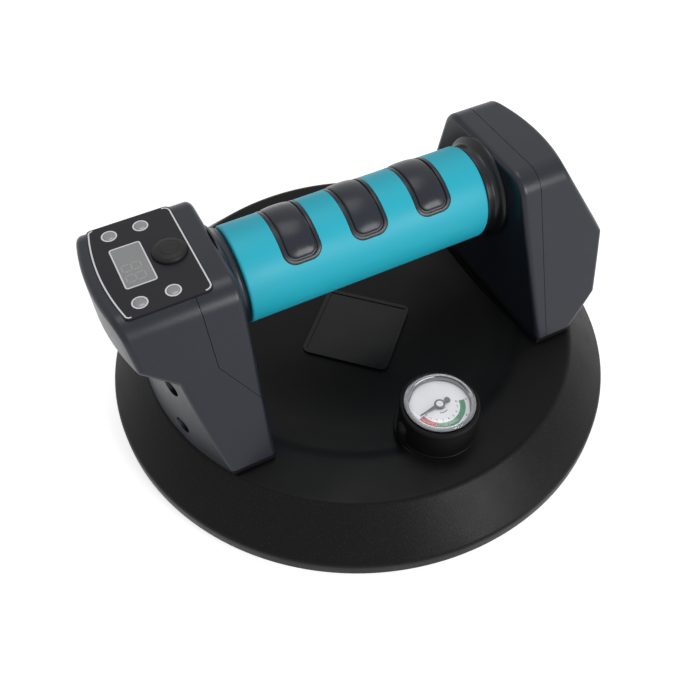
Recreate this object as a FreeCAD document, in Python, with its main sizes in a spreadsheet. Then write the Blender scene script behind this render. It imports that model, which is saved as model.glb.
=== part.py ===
import FreeCAD, Part
import math
import os
import Sketcher

# Powered floor-tile suction lifter: a dished round base with a rubber seal, two moulded end
# housings, and a padded grip between them.  The left housing carries the control head, the
# right one the vacuum pump, and a vacuum gauge stands on the base in front of the grip.
#
# Frame: X runs along the grip (control head at -X), -Y faces the user and carries the gauge,
# Z is up.  The origin is the centre of the base in the plane that the seal presses on.
# All lengths are millimetres and live in the sheet named "dims".

DIMS = {
    # base plate
    "rim_radius": 101.5,
    "rim_underside": 3.0,
    "rim_edge_height": 8.5,
    "rim_round": 1.2,
    "rim_wall": 2.3,
    "shelf_radius": 85.7,
    "shelf_height": 24.0,
    "shelf_round": 1.5,
    "shelf_inner_radius": 66.0,
    "lip_radius": 60.0,
    "lip_drop": 2.2,
    "lip_round": 10.0,
    "bowl_wall_radius": 47.0,
    "bowl_wall_rise": 1.8,
    "bowl_floor_radius": 33.0,
    "bowl_floor_height": 16.0,
    "base_skin": 3.5,
    "chamber_radius": 88.0,
    "chamber_wall_foot": 4.5,
    "groove_radius": 90.5,
    "groove_height": 8.0,
    "rib_count": 12.0,
    "rib_thickness": 2.2,
    "rib_foot": 9.0,
    "rib_hub_radius": 12.0,
    "seat_inset": 0.6,
    # seal ring
    "seal_gap": 0.3,
    "seal_lip_radius": 100.3,
    "seal_lip_height": 2.4,
    "seal_inner_lip_radius": 84.5,
    "seal_inner_lip_height": 1.2,
    "seal_foot_inner": 88.5,
    "seal_foot_outer": 99.0,
    # badge plate
    "badge_side": 36.0,
    "badge_thickness": 1.0,
    "badge_corner": 3.0,
    "badge_frame": 1.6,
    "badge_relief": 0.4,
    # end housings
    "gasket_thickness": 3.0,
    "gasket_inset": 0.6,
    "gasket_width": 2.0,
    "housing_top": 91.0,
    "top_half_width": 24.3,
    "foot_half_width": 46.3,
    "top_corner_round": 9.0,
    "edge_round": 2.2,
    "housing_wall": 2.5,
    "inner_face_top": 52.0,
    "inner_face_foot": 55.8,
    "foot_radius": 86.0,
    "seam_gap": 0.2,
    # control head and leg
    "leg_top": 65.0,
    "head_radius": 95.0,
    "head_underside": 73.5,
    "left_seam": 66.5,
    "left_seam_knee": 67.0,
    "left_seam_exit": 50.5,
    # pump housing
    "pump_wall_radius": 93.7,
    "pump_wall_foot": 37.0,
    "pump_shoulder": 61.0,
    "pump_top_radius": 74.5,
    "right_seam": 60.5,
    # shell screws
    "screw_row": 25.7,
    "screw_low": 36.0,
    "screw_high": 57.6,
    "screw_shank": 1.5,
    "screw_head": 2.8,
    "screw_head_height": 2.4,
    "screw_boss": 4.6,
    "screw_recess": 3.3,
    "screw_seat_left": 72.0,
    "screw_seat_right": 74.0,
    "fit_gap": 0.1,
    # end frames
    "frame_plate": 1.5,
    "frame_left": 58.6,
    "frame_right": 61.2,
    "frame_foot_half": 36.0,
    "frame_top_half": 19.0,
    "frame_top": 88.0,
    "frame_flange": 9.0,
    "base_screw_row": 31.0,
    "base_screw_shank": 2.0,
    "base_screw_head": 3.8,
    "base_screw_head_height": 2.6,
    # control panel
    "panel_inner": 60.7,
    "panel_radius": 90.4,
    "panel_half": 21.7,
    "panel_thickness": 0.6,
    "panel_gap": 0.15,
    "lcd_near": 74.3,
    "lcd_far": 84.2,
    "lcd_half": 10.0,
    "lamp_near": 71.6,
    "lamp_far": 82.5,
    "lamp_row": 16.5,
    "lamp_radius": 2.05,
    "button_place": 67.0,
    "button_radius": 5.6,
    "button_rise": 2.3,
    "button_travel": 1.0,
    "button_flange": 6.2,
    "button_flange_height": 1.0,
    "button_gap": 0.25,
    "board_top": 81.6,
    "board_thickness": 1.6,
    "board_near": 61.0,
    "board_far": 88.0,
    "board_half": 20.5,
    "board_post_place": 77.0,
    "board_post_row": 18.4,
    "board_post_radius": 2.2,
    "board_screw_shank": 1.0,
    "board_screw_head": 1.9,
    "board_screw_head_height": 1.2,
    "switch_half": 2.2,
    "switch_height": 2.9,
    "plunger_radius": 1.4,
    # battery and charging socket
    "cell_radius": 8.2,
    "cell_half_length": 17.0,
    "cell_place": 73.0,
    "cell_low": 38.0,
    "cell_high": 56.0,
    "holder_wall": 1.6,
    "socket_height": 44.0,
    "socket_place": 66.0,
    "socket_half_width": 4.5,
    "socket_half_height": 1.7,
    "socket_depth": 7.0,
    # grip
    "grip_height": 71.4,
    "core_radius": 15.0,
    "core_wall": 2.5,
    "core_left": 60.0,
    "core_right": 62.6,
    "core_fit": 0.05,
    "sleeve_radius": 17.6,
    "sleeve_left": 48.0,
    "sleeve_right": 46.0,
    "sleeve_round": 1.0,
    "pad_first": -26.2,
    "pad_pitch": 25.4,
    "pad_width": 14.0,
    "pad_angle": 58.0,
    "pad_corner": 4.5,
    "pad_pocket_radius": 16.0,
    "pad_frame_radius": 17.5,
    "pad_face_radius": 17.95,
    "pad_groove_radius": 17.0,
    "pad_frame": 1.5,
    "pad_groove": 0.5,
    "pad_gap": 0.1,
    "collar_radius": 16.9,
    "collar_lip_radius": 19.6,
    "collar_lip": 1.3,
    "collar_gap": 0.2,
    # vacuum gauge
    "gauge_x": 2.0,
    "gauge_y": -60.5,
    "gauge_seat_radius": 16.2,
    "boot_foot_radius": 15.0,
    "boot_top_radius": 14.2,
    "boot_height": 13.6,
    "boot_floor": 1.6,
    "case_radius": 12.3,
    "case_wall": 0.9,
    "case_height": 12.0,
    "lens_radius": 12.9,
    "lens_rise": 1.9,
    "lens_thickness": 1.5,
    "lens_skirt": 1.3,
    "dial_radius": 11.0,
    "dial_drop": 4.2,
    "dial_thickness": 0.6,
    "needle_length": 8.6,
    "needle_tail": 4.4,
    "needle_half_width": 0.55,
    "needle_thickness": 0.4,
    "needle_lift": 0.7,
    "needle_hub": 2.0,
    "needle_angle": 187.0,
    "arbor_radius": 0.6,
    "bourdon_radius": 7.6,
    "bourdon_width": 1.6,
    "bourdon_height": 2.6,
    "bourdon_lift": 1.4,
    "stem_radius": 3.0,
    "stem_bore": 1.0,
    "nut_radius": 5.6,
    "nut_height": 3.0,
    "gauge_boss_radius": 9.0,
    "gauge_boss_foot": 12.0,
    # vacuum pump
    "pump_x": 75.5,
    "pump_axis": 50.0,
    "motor_radius": 10.0,
    "motor_front": -4.0,
    "motor_rear": 16.5,
    "motor_boss": 4.0,
    "motor_boss_length": 1.8,
    "shaft_radius": 1.2,
    "pump_front": -19.0,
    "pump_half": 10.2,
    "pump_top": 60.4,
    "pump_foot": 37.0,
    "pump_bulkhead": 3.0,
    "crank_chamber": 8.4,
    "crank_radius": 4.0,
    "crank_throw": 0.8,
    "crank_width": 5.0,
    "rod_bore": 5.8,
    "rod_radius": 7.2,
    "rod_width": 4.0,
    "rod_stem": 1.9,
    "rod_bore_guide": 5.4,
    "pump_cover": 1.6,
    "diaphragm_radius": 7.6,
    "diaphragm_thickness": 1.0,
    "valve_head_radius": 7.6,
    "valve_head_foot": 30.0,
    "barb_radius": 1.8,
    "barb_height": 33.0,
    "barb_reach": 3.6,
    "hose_wall": 0.9,
    "port_y": 9.0,
    "port_bore": 1.5,
    "elbow_radius": 3.0,
    "elbow_foot_radius": 4.2,
    "filter_radius": 8.0,
    "filter_thickness": 3.0,
    "bracket_rear": 15.0,
    "bracket_low": 42.0,
    "bracket_high": 58.0,
}

EPS = 1.0e-6
XZ = FreeCAD.Rotation(FreeCAD.Vector(1, 0, 0), 90)
YZ = FreeCAD.Rotation(0.5, 0.5, 0.5, 0.5)
FLAT = FreeCAD.Rotation()
ALONG_X = FreeCAD.Rotation(FreeCAD.Vector(0, 1, 0), 90)
ALONG_Y = FreeCAD.Rotation(FreeCAD.Vector(1, 0, 0), -90)

doc = FreeCAD.newDocument("suction_lifter")
sheet = doc.addObject("Spreadsheet::Sheet", "dims")
for row, (alias, number) in enumerate(DIMS.items(), start=1):
    sheet.set(f"A{row}", alias)
    sheet.set(f"B{row}", str(number))
    sheet.setAlias(f"B{row}", alias)
doc.recompute()

nodes = []


class Size:
    """A number together with the sheet formula that it comes from."""

    def __init__(self, number, formula):
        self.number = number
        self.formula = formula

    def __add__(self, other):
        other = as_size(other)
        return Size(self.number + other.number, f"({self.formula} + {other.formula})")

    def __sub__(self, other):
        other = as_size(other)
        return Size(self.number - other.number, f"({self.formula} - {other.formula})")

    def __mul__(self, other):
        other = as_size(other)
        return Size(self.number * other.number, f"({self.formula} * {other.formula})")

    def __truediv__(self, other):
        other = as_size(other)
        return Size(self.number / other.number, f"({self.formula} / {other.formula})")

    def __neg__(self):
        return Size(-self.number, f"(0 - {self.formula})")

    def __radd__(self, other):
        return as_size(other) + self

    def __rsub__(self, other):
        return as_size(other) - self

    def __rmul__(self, other):
        return as_size(other) * self


def as_size(value):
    return value if isinstance(value, Size) else Size(float(value), repr(float(value)))


def dim(alias):
    return Size(float(sheet.get(alias)), f"dims.{alias}")


def cosine(angle):
    return Size(math.cos(math.radians(angle.number)), f"cos({angle.formula})")


def sine(angle):
    return Size(math.sin(math.radians(angle.number)), f"sin({angle.formula})")


def bind(thing, prop, size):
    thing.setExpression(prop, as_size(size).formula)


def place(thing, x=0.0, y=0.0, z=0.0, rotation=FLAT):
    thing.Placement = FreeCAD.Placement(FreeCAD.Vector(0, 0, 0), rotation)
    for axis, size in (("x", x), ("y", y), ("z", z)):
        bind(thing, f"Placement.Base.{axis}", size)
    return thing


def pin_point(sketch, geometry, end, point):
    for kind, size in zip(("DistanceX", "DistanceY"), point):
        size = as_size(size)
        index = sketch.addConstraint(Sketcher.Constraint(kind, -1, 1, geometry, end, size.number))
        sketch.setExpression(f"Constraints[{index}]", size.formula)


def draw_outline(sketch, points):
    """Closed straight-sided outline whose every corner is bound to the sheet."""
    corners = [FreeCAD.Vector(as_size(u).number, as_size(v).number, 0) for u, v in points]
    first = sketch.GeometryCount
    count = len(corners)
    for index in range(count):
        sketch.addGeometry(Part.LineSegment(corners[index], corners[(index + 1) % count]), False)
    for index in range(count):
        following = first + (index + 1) % count
        sketch.addConstraint(Sketcher.Constraint("Coincident", first + index, 2, following, 1))
        pin_point(sketch, first + index, 1, points[index])


def draw_circle(sketch, u, v, radius):
    radius = as_size(radius)
    centre = FreeCAD.Vector(as_size(u).number, as_size(v).number, 0)
    geometry = sketch.addGeometry(Part.Circle(centre, FreeCAD.Vector(0, 0, 1), radius.number), False)
    pin_point(sketch, geometry, 3, (u, v))
    index = sketch.addConstraint(Sketcher.Constraint("Radius", geometry, radius.number))
    sketch.setExpression(f"Constraints[{index}]", radius.formula)


def node(thing, name):
    """Name a finished sub-part and put it on the list that is written out."""
    thing.Label = name
    nodes.append(thing)
    return thing


# ---------------------------------------------------------------- PartDesign helpers

def new_body(name):
    body = doc.addObject("PartDesign::Body", name)
    doc.recompute()
    return body


def plane(body, role):
    return next(feature for feature in body.Origin.OriginFeatures if feature.Role == role)


def body_sketch(body, role, offset=0.0):
    sketch = body.newObject("Sketcher::SketchObject", f"{body.Name}_sketch")
    sketch.AttachmentSupport = (plane(body, role), [""])
    sketch.MapMode = "FlatFace"
    bind(sketch, "AttachmentOffset.Base.z", offset)
    return sketch


def feature(body, kind, sketch, **settings):
    thing = body.newObject(f"PartDesign::{kind}", f"{body.Name}_{kind.lower()}")
    thing.Profile = sketch
    for prop, value in settings.items():
        if isinstance(value, Size):
            bind(thing, prop, value)
        else:
            setattr(thing, prop, value)
    return thing


def revolve(body, points):
    """Turn an outline drawn in radius and height about the body's own Z axis."""
    sketch = body_sketch(body, "XZ_Plane")
    draw_outline(sketch, points)
    return feature(body, "Revolution", sketch, ReferenceAxis=(sketch, ["V_Axis"]), Angle=360.0)


def pad_outline(body, points, length, role="XY_Plane", offset=0.0, symmetric=False):
    sketch = body_sketch(body, role, offset)
    draw_outline(sketch, points)
    side = "Symmetric" if symmetric else "One side"
    return feature(body, "Pad", sketch, Length=as_size(length), SideType=side)


def pad_circle(body, u, v, radius, length, offset=0.0):
    sketch = body_sketch(body, "XY_Plane", offset)
    draw_circle(sketch, u, v, radius)
    return feature(body, "Pad", sketch, Length=as_size(length))


def drill(body, u, v, radius, depth, offset):
    """Cut a round hole down from the given height."""
    sketch = body_sketch(body, "XY_Plane", offset)
    draw_circle(sketch, u, v, radius)
    return feature(body, "Pocket", sketch, Length=as_size(depth))


def round_edges(body, radius, test):
    """Fillet every edge of the body that the test picks."""
    doc.recompute()
    tip = body.Tip
    picked = [f"Edge{i}" for i, edge in enumerate(tip.Shape.Edges, start=1) if test(edge)]
    fillet = body.newObject("PartDesign::Fillet", f"{body.Name}_fillet")
    fillet.Base = (tip, picked)
    bind(fillet, "Radius", radius)
    return fillet


def turned(name, points, x=0.0, y=0.0, z=0.0, rotation=FLAT):
    """A whole sub-part that is one revolved profile."""
    body = new_body(name)
    revolve(body, points)
    place(body, x, y, z, rotation)
    return node(body, name)


# ---------------------------------------------------------------- Part helpers

def free_sketch(name, rotation, origin=(0.0, 0.0, 0.0)):
    sketch = doc.addObject("Sketcher::SketchObject", name)
    return place(sketch, *origin, rotation=rotation)


def prism(name, rotation, points, length, origin=(0.0, 0.0, 0.0), symmetric=False):
    """Extrude an outline along the normal of its plane."""
    sketch = free_sketch(f"{name}_outline", rotation, origin)
    draw_outline(sketch, points)
    thing = doc.addObject("Part::Extrusion", name)
    thing.Base = sketch
    thing.DirMode = "Normal"
    thing.Solid = True
    thing.Symmetric = symmetric
    bind(thing, "LengthFwd", length)
    return thing


def box(name, low, high):
    thing = doc.addObject("Part::Box", name)
    for prop, start, end in zip(("Length", "Width", "Height"), low, high):
        bind(thing, prop, as_size(end) - start)
    return place(thing, *low)


def cylinder(name, radius, length, origin, rotation=FLAT):
    thing = doc.addObject("Part::Cylinder", name)
    bind(thing, "Radius", radius)
    bind(thing, "Height", length)
    return place(thing, *origin, rotation=rotation)


def fuse(name, *shapes):
    thing = doc.addObject("Part::MultiFuse", name)
    thing.Shapes = list(shapes)
    return thing


def common(name, *shapes):
    thing = doc.addObject("Part::MultiCommon", name)
    thing.Shapes = list(shapes)
    return thing


def cut(name, base, *tools):
    thing = doc.addObject("Part::Cut", name)
    thing.Base = base
    thing.Tool = tools[0] if len(tools) == 1 else fuse(f"{name}_tools", *tools)
    return thing


def part_fillet(name, base, radius, test):
    """Fillet the picked edges of a Part object with a radius from the sheet."""
    doc.recompute()
    number = as_size(radius).number
    picked = [(i, number, number) for i, edge in enumerate(base.Shape.Edges, start=1) if test(edge)]
    thing = doc.addObject("Part::Fillet", name)
    thing.Base = base
    thing.Edges = picked
    return thing


def runs_along(edge, axis):
    if not isinstance(edge.Curve, Part.Line):
        return False
    return abs(abs(edge.tangentAt(edge.FirstParameter).dot(axis)) - 1.0) < EPS


# ---------------------------------------------------------------- shared places

shelf = dim("shelf_height")
housing_foot = shelf + dim("gasket_thickness")
housing_top = dim("housing_top")
wall = dim("housing_wall")
grip_height = dim("grip_height")
gauge_x = dim("gauge_x")
gauge_y = dim("gauge_y")
gauge_seat = shelf
screw_places = [
    (side * dim("screw_row"), dim(height))
    for side in (-1, 1)
    for height in ("screw_low", "screw_high")
]
REACH = 120.0
DEEP = 60.0


# ---------------------------------------------------------------- base

def base_plate():
    body = new_body("base_plate")
    skin = dim("base_skin")
    floor = dim("bowl_floor_height")
    bowl = [
        (dim("bowl_floor_radius"), floor),
        (dim("bowl_wall_radius"), floor + dim("bowl_wall_rise")),
        (dim("lip_radius"), shelf - dim("lip_drop")),
        (dim("shelf_inner_radius"), shelf),
    ]
    rim = dim("rim_radius")
    chamber = dim("chamber_radius")
    groove = dim("groove_radius")
    cone_foot = chamber - dim("base_skin")
    outline = [(0, floor)] + bowl + [
        (dim("shelf_radius"), shelf),
        (rim, dim("rim_edge_height")),
        (rim, dim("rim_underside")),
        (rim - dim("rim_wall"), dim("rim_underside")),
        (rim - dim("rim_wall"), dim("groove_height")),
        (groove, dim("groove_height")),
        (groove, dim("chamber_wall_foot")),
        (chamber, dim("chamber_wall_foot")),
        (chamber, shelf - 2 * skin),
        (cone_foot, shelf - skin),
    ]
    outline += [(radius, height - skin) for radius, height in reversed(bowl)]
    outline.append((0, floor - skin))
    revolve(body, outline)
    round_edges(body, dim("lip_round"), lambda edge: is_ring(edge, dim("shelf_inner_radius"), shelf))
    round_edges(body, dim("shelf_round"), lambda edge: is_ring(edge, dim("shelf_radius"), shelf))
    round_edges(body, dim("rim_round"), lambda edge: is_ring(edge, rim, dim("rim_edge_height")))

    # Flat seats under the two housings, and the round seat and boss of the gauge.
    seat_depth = dim("base_skin") + 1.0
    for side in (-1, 1):
        near = side * (dim("inner_face_foot") - dim("seat_inset"))
        far = side * dim("shelf_inner_radius")
        half = dim("foot_half_width")
        corners = [(near, -half), (far, -half), (far, half), (near, half)]
        pad_outline(body, corners, seat_depth, offset=shelf - seat_depth)
    boss_foot = dim("gauge_boss_foot")
    pad_circle(body, gauge_x, gauge_y, dim("gauge_seat_radius"), shelf - floor, offset=floor)
    pad_circle(body, gauge_x, gauge_y, dim("gauge_boss_radius"), shelf - boss_foot, offset=boss_foot)
    pad_circle(body, 0, 0, dim("rib_hub_radius"), floor - dim("rib_foot") - 1.0, offset=dim("rib_foot"))

    # Radial ribs stiffen the skin from below, clear of the gauge, the screws and the port.
    foot = dim("rib_foot")
    inside = skin / 2
    sketch = body_sketch(body, "XZ_Plane")
    half_pitch = Size(180.0 / dim("rib_count").number, f"(180 / {dim('rib_count').formula})")
    sketch.AttachmentOffset = FreeCAD.Placement(
        FreeCAD.Vector(0, 0, 0), FreeCAD.Rotation(FreeCAD.Vector(0, 1, 0), half_pitch.number))
    hub = dim("rib_hub_radius") - 1.0
    edge = [(hub, floor - inside)]
    edge += [(radius, height - inside) for radius, height in bowl]
    edge += [(cone_foot, shelf - inside), (chamber + inside, shelf - 2 * skin), (chamber + inside, foot)]
    draw_outline(sketch, edge + [(hub, foot)])
    rib = feature(body, "Pad", sketch, Length=dim("rib_thickness"), SideType="Symmetric")
    doc.recompute()
    pattern = body.newObject("PartDesign::PolarPattern", "rib_pattern")
    pattern.Originals = [rib]
    pattern.Axis = (plane(body, "Z_Axis"), [""])
    pattern.Angle = 360.0
    bind(pattern, "Occurrences", dim("rib_count"))
    body.Tip = pattern

    # Holes for the gauge stem, the pump port and the screws that hold the end frames.
    drill(body, gauge_x, gauge_y, dim("stem_radius") + dim("fit_gap"), DEEP, shelf)
    drill(body, dim("pump_x"), dim("port_y"), dim("port_bore"), DEEP, shelf)
    for x, y in base_screw_places():
        drill(body, x, y, dim("base_screw_shank") + dim("fit_gap"), DEEP, shelf)
        drill(body, x, y, dim("base_screw_head") + dim("fit_gap"), DEEP, shelf - skin)
    return node(body, "base_plate")


def is_ring(edge, radius, height):
    """True for a circle of this radius about the Z axis at this height."""
    bounds = edge.BoundBox
    flat = abs(bounds.ZMax - height.number) < EPS and abs(bounds.ZMin - height.number) < EPS
    return flat and isinstance(edge.Curve, Part.Circle) and abs(edge.Curve.Radius - radius.number) < EPS


def base_screw_places():
    inset = dim("frame_flange") / 2
    places = []
    for plate in (-dim("frame_left"), dim("frame_right")):
        side = 1 if plate.number > 0 else -1
        x = plate + side * (dim("frame_plate") + inset)
        places += [(x, -dim("base_screw_row")), (x, dim("base_screw_row"))]
    return places


def seal_ring():
    gap = dim("seal_gap")
    inner = dim("groove_radius") + gap
    outer = dim("rim_radius") - dim("rim_wall") - gap
    lip = dim("seal_lip_height")
    inner_lip = dim("seal_inner_lip_height")
    return turned("seal_ring", [
        (inner, dim("groove_height")),
        (outer, dim("groove_height")),
        (outer, lip),
        (dim("seal_lip_radius"), lip),
        (dim("seal_lip_radius"), lip / 3),
        (dim("seal_foot_outer"), 0),
        (dim("seal_foot_inner"), 0),
        (dim("seal_inner_lip_radius"), inner_lip / 2),
        (dim("seal_inner_lip_radius"), inner_lip),
        (inner, lip + inner_lip),
    ])


def badge_plate():
    """Blank square plate set cornerwise in the bowl, with a raised border."""
    body = new_body("badge_plate")
    half = dim("badge_side") / 2
    thickness = dim("badge_thickness")
    square = [(-half, -half), (half, -half), (half, half), (-half, half)]
    pad_outline(body, square, thickness)
    round_edges(body, dim("badge_corner"), lambda edge: runs_along(edge, FreeCAD.Vector(0, 0, 1)))
    field = half - dim("badge_frame")
    sketch = body_sketch(body, "XY_Plane", thickness)
    draw_outline(sketch, [(-field, -field), (field, -field), (field, field), (-field, field)])
    feature(body, "Pocket", sketch, Length=dim("badge_relief"))
    place(body, z=dim("bowl_floor_height"), rotation=FreeCAD.Rotation(FreeCAD.Vector(0, 0, 1), 45))
    return node(body, "badge_plate")


def port_filter():
    body = new_body("port_filter")
    top = shelf - dim("base_skin")
    thickness = dim("filter_thickness")
    pad_circle(body, dim("pump_x"), dim("port_y"), dim("filter_radius"), thickness, offset=top - thickness)
    return node(body, "port_filter")


# ---------------------------------------------------------------- end housings

def housing_block(name, side, wall_profile, inset, foot):
    """Outer form of an end housing: a turned wall cut to drafted flat faces."""
    top = housing_top - inset
    profile = [(radius - inset, height) for radius, height in wall_profile]
    profile[0] = (profile[0][0], foot)
    profile[-1] = (profile[-1][0], top)
    sketch = free_sketch(f"{name}_profile", XZ)
    draw_outline(sketch, [(40.0, foot)] + profile + [(40.0, top)])
    turned_wall = doc.addObject("Part::Revolution", f"{name}_turned")
    turned_wall.Source = sketch
    turned_wall.Axis = FreeCAD.Vector(0, 0, 1)
    turned_wall.Base = FreeCAD.Vector(0, 0, 0)
    turned_wall.Angle = 360.0
    turned_wall.Solid = True
    faces = prism(f"{name}_side", XZ, [
        (side * (dim("inner_face_foot") + inset), foot),
        (side * (dim("inner_face_top") + inset), top),
        (side * REACH, top),
        (side * REACH, foot),
    ], 2 * REACH, symmetric=True)
    top_half = dim("top_half_width") - inset
    foot_half = dim("foot_half_width") - inset
    ends = prism(f"{name}_ends", YZ, [
        (-foot_half, foot), (foot_half, foot), (top_half, top), (-top_half, top),
    ], REACH, origin=(REACH * min(side, 0), 0, 0))
    rounded = part_fillet(f"{name}_corners", ends, dim("top_corner_round") - inset, lambda edge: (
        runs_along(edge, FreeCAD.Vector(1, 0, 0)) and edge.CenterOfMass.z > top.number - EPS))
    return common(f"{name}_block", turned_wall, faces, rounded)


def hollow_housing(name, side, wall_profile):
    """A housing block with rounded edges, hollowed out and open at its foot."""
    outer = housing_block(f"{name}_outer", side, wall_profile, as_size(0), housing_foot)
    doc.recompute()
    low = housing_foot.number + EPS
    rounded = part_fillet(f"{name}_rounded", outer, dim("edge_round"), lambda edge: (
        edge.BoundBox.ZMax > low and not is_smooth(edge, outer.Shape)))
    inner = housing_block(f"{name}_inner", side, wall_profile, wall, housing_foot - 1.0)
    return rounded, inner


def is_smooth(edge, shape):
    """True where the two faces beside an edge already meet without a corner."""
    faces = shape.ancestorsOfType(edge, Part.Face)
    if len(faces) < 2:
        return True
    middle = edge.valueAt((edge.FirstParameter + edge.LastParameter) / 2)
    normals = [face.normalAt(*face.Surface.parameter(middle)) for face in faces]
    return abs(abs(normals[0].dot(normals[1])) - 1.0) < 1.0e-3


def screw_bosses(name, side, seat, frame_face, block):
    """Bosses that carry the shell screws inward to the end frame."""
    start = side * (frame_face + dim("seam_gap"))
    rods = []
    holes = []
    length = REACH - frame_face
    turn = ALONG_X if side > 0 else FreeCAD.Rotation(FreeCAD.Vector(0, 1, 0), -90)
    for index, (y, z) in enumerate(screw_places):
        rods.append(cylinder(f"{name}_boss{index}", dim("screw_boss"), length, (start, y, z), turn))
        holes.append(cylinder(
            f"{name}_pilot{index}", dim("screw_shank") + dim("fit_gap"), length, (start, y, z), turn))
        holes.append(cylinder(
            f"{name}_recess{index}", dim("screw_recess"), length, (side * seat, y, z), turn))
    return common(f"{name}_bosses", fuse(f"{name}_rods", *rods), block), holes


def left_profile():
    return [
        (dim("foot_radius"), housing_foot),
        (dim("foot_radius"), dim("leg_top")),
        (dim("head_radius"), dim("head_underside")),
        (dim("head_radius"), housing_top),
    ]


def right_profile():
    return [
        (dim("foot_radius"), housing_foot),
        (dim("pump_wall_radius"), dim("pump_wall_foot")),
        (dim("pump_wall_radius"), dim("pump_shoulder")),
        (dim("pump_top_radius"), housing_top),
    ]


def panel_blank(name, gap, low, high):
    """Panel outline: straight sides, and an outer edge concentric with the base."""
    slab = box(f"{name}_slab", (-REACH, -(dim("panel_half") + gap), low),
               (-(dim("panel_inner") - gap), dim("panel_half") + gap, high))
    disc = cylinder(f"{name}_disc", dim("panel_radius") + gap, high - low, (0, 0, low))
    return common(name, slab, disc)


def panel_openings(name, low, high, gap):
    """Window, button and lamp openings of the control head."""
    half = dim("lcd_half") + gap
    tools = [box(f"{name}_window", (-(dim("lcd_far") + gap), -half, low),
                 (-(dim("lcd_near") - gap), half, high))]
    tools.append(cylinder(f"{name}_button", dim("button_radius") + dim("button_gap"), high - low,
                          (-dim("button_place"), 0, low)))
    for index, (x, y) in enumerate(lamp_places()):
        tools.append(cylinder(f"{name}_lamp{index}", dim("lamp_radius") + gap, high - low, (x, y, low)))
    return tools


def lamp_places():
    return [(-dim(place_), side * dim("lamp_row")) for place_ in ("lamp_near", "lamp_far") for side in (-1, 1)]


def board_post_places():
    return [(-dim("board_post_place"), side * dim("board_post_row")) for side in (-1, 1)]


def left_housing():
    rounded, inner = hollow_housing("left", -1, left_profile())
    panel_seat = housing_top - dim("panel_thickness")
    tools = [inner, panel_blank("left_panel_seat", dim("panel_gap"), panel_seat, housing_top + 5.0)]
    tools += panel_openings("left_top", housing_top - 4 * wall, housing_top + 5.0, dim("panel_gap"))
    socket_half = dim("socket_half_width") + dim("fit_gap")
    socket_rise = dim("socket_half_height") + dim("fit_gap")
    tools.append(box("left_socket_opening",
                     (-(dim("socket_place") + socket_half), 30.0, dim("socket_height") - socket_rise),
                     (-(dim("socket_place") - socket_half), DEEP, dim("socket_height") + socket_rise)))
    hollow = cut("left_hollow", rounded, *tools)

    seam = dim("left_seam")
    knee = dim("left_seam_knee")
    leaving = dim("left_seam_exit")
    foot_x = dim("inner_face_foot")
    run = 10.0
    beyond = leaving - run * (knee - leaving) / (seam - foot_x)

    def seam_prism(name, shift):
        return prism(name, XZ, [
            (-(seam - shift), REACH),
            (-(seam - shift), knee),
            (-(foot_x - run), beyond + shift),
            (0, beyond + shift),
            (0, REACH),
        ], 2 * REACH, symmetric=True)

    core_hole = cylinder("left_core_hole", dim("core_radius") + dim("core_fit"), REACH / 2,
                         (-REACH / 2 - 30.0, 0, grip_height), ALONG_X)
    inner_half = common("left_inner_half", hollow, seam_prism("left_seam_inner", dim("seam_gap")))
    node(cut("left_inner_shell", inner_half, core_hole), "left_inner_shell")

    outer_half = cut("left_outer_half", hollow, seam_prism("left_seam_outer", as_size(0)))
    frame_face = dim("frame_left") + dim("frame_plate")
    bosses, holes = screw_bosses("left", -1, dim("screw_seat_left"), frame_face, rounded)
    posts = []
    for index, (x, y) in enumerate(board_post_places()):
        posts.append(cylinder(f"board_post{index}", dim("board_post_radius"),
                              housing_top - wall / 2 - dim("board_top"), (x, y, dim("board_top"))))
        holes.append(cylinder(f"board_pilot{index}", dim("board_screw_shank") + dim("fit_gap"),
                              housing_top - 2 * wall - dim("board_top"), (x, y, dim("board_top"))))
    node(cut("left_outer_shell", fuse("left_outer_solid", outer_half, bosses, *posts), *holes),
         "left_outer_shell")


def right_housing():
    rounded, inner = hollow_housing("right", 1, right_profile())
    hollow = cut("right_hollow", rounded, inner)
    seam = dim("right_seam")
    inner_side = box("right_inner_side", (0, -REACH, 0), (seam - dim("seam_gap"), REACH, REACH))
    outer_side = box("right_outer_side", (seam, -REACH, 0), (REACH, REACH, REACH))
    core_hole = cylinder("right_core_hole", dim("core_radius") + dim("core_fit"), REACH / 2,
                         (30.0, 0, grip_height), ALONG_X)
    inner_half = common("right_inner_half", hollow, inner_side)
    node(cut("right_inner_shell", inner_half, core_hole), "right_inner_shell")
    outer_half = common("right_outer_half", hollow, outer_side)
    frame_face = dim("frame_right") + dim("frame_plate")
    bosses, holes = screw_bosses("right", 1, dim("screw_seat_right"), frame_face, rounded)
    node(cut("right_outer_shell", fuse("right_outer_solid", outer_half, bosses), *holes),
         "right_outer_shell")


def foot_gasket(name, side):
    """Rubber ring between a housing's foot and its seat on the base."""
    def slab(tag, inset, low, high):
        near = side * (dim("inner_face_foot") + inset)
        far = side * REACH
        start, end = (far, near) if side < 0 else (near, far)
        half = dim("foot_half_width") - inset
        block = box(f"{name}_{tag}_box", (start, -half, low), (end, half, high))
        disc = cylinder(f"{name}_{tag}_disc", dim("foot_radius") - inset, high - low, (0, 0, low))
        return common(f"{name}_{tag}", block, disc)

    inset = dim("gasket_inset")
    outer = slab("outer", inset, shelf, housing_foot)
    inner = slab("inner", inset + dim("gasket_width"), shelf - 1.0, housing_foot + 1.0)
    node(cut(name, outer, inner), name)


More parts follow.
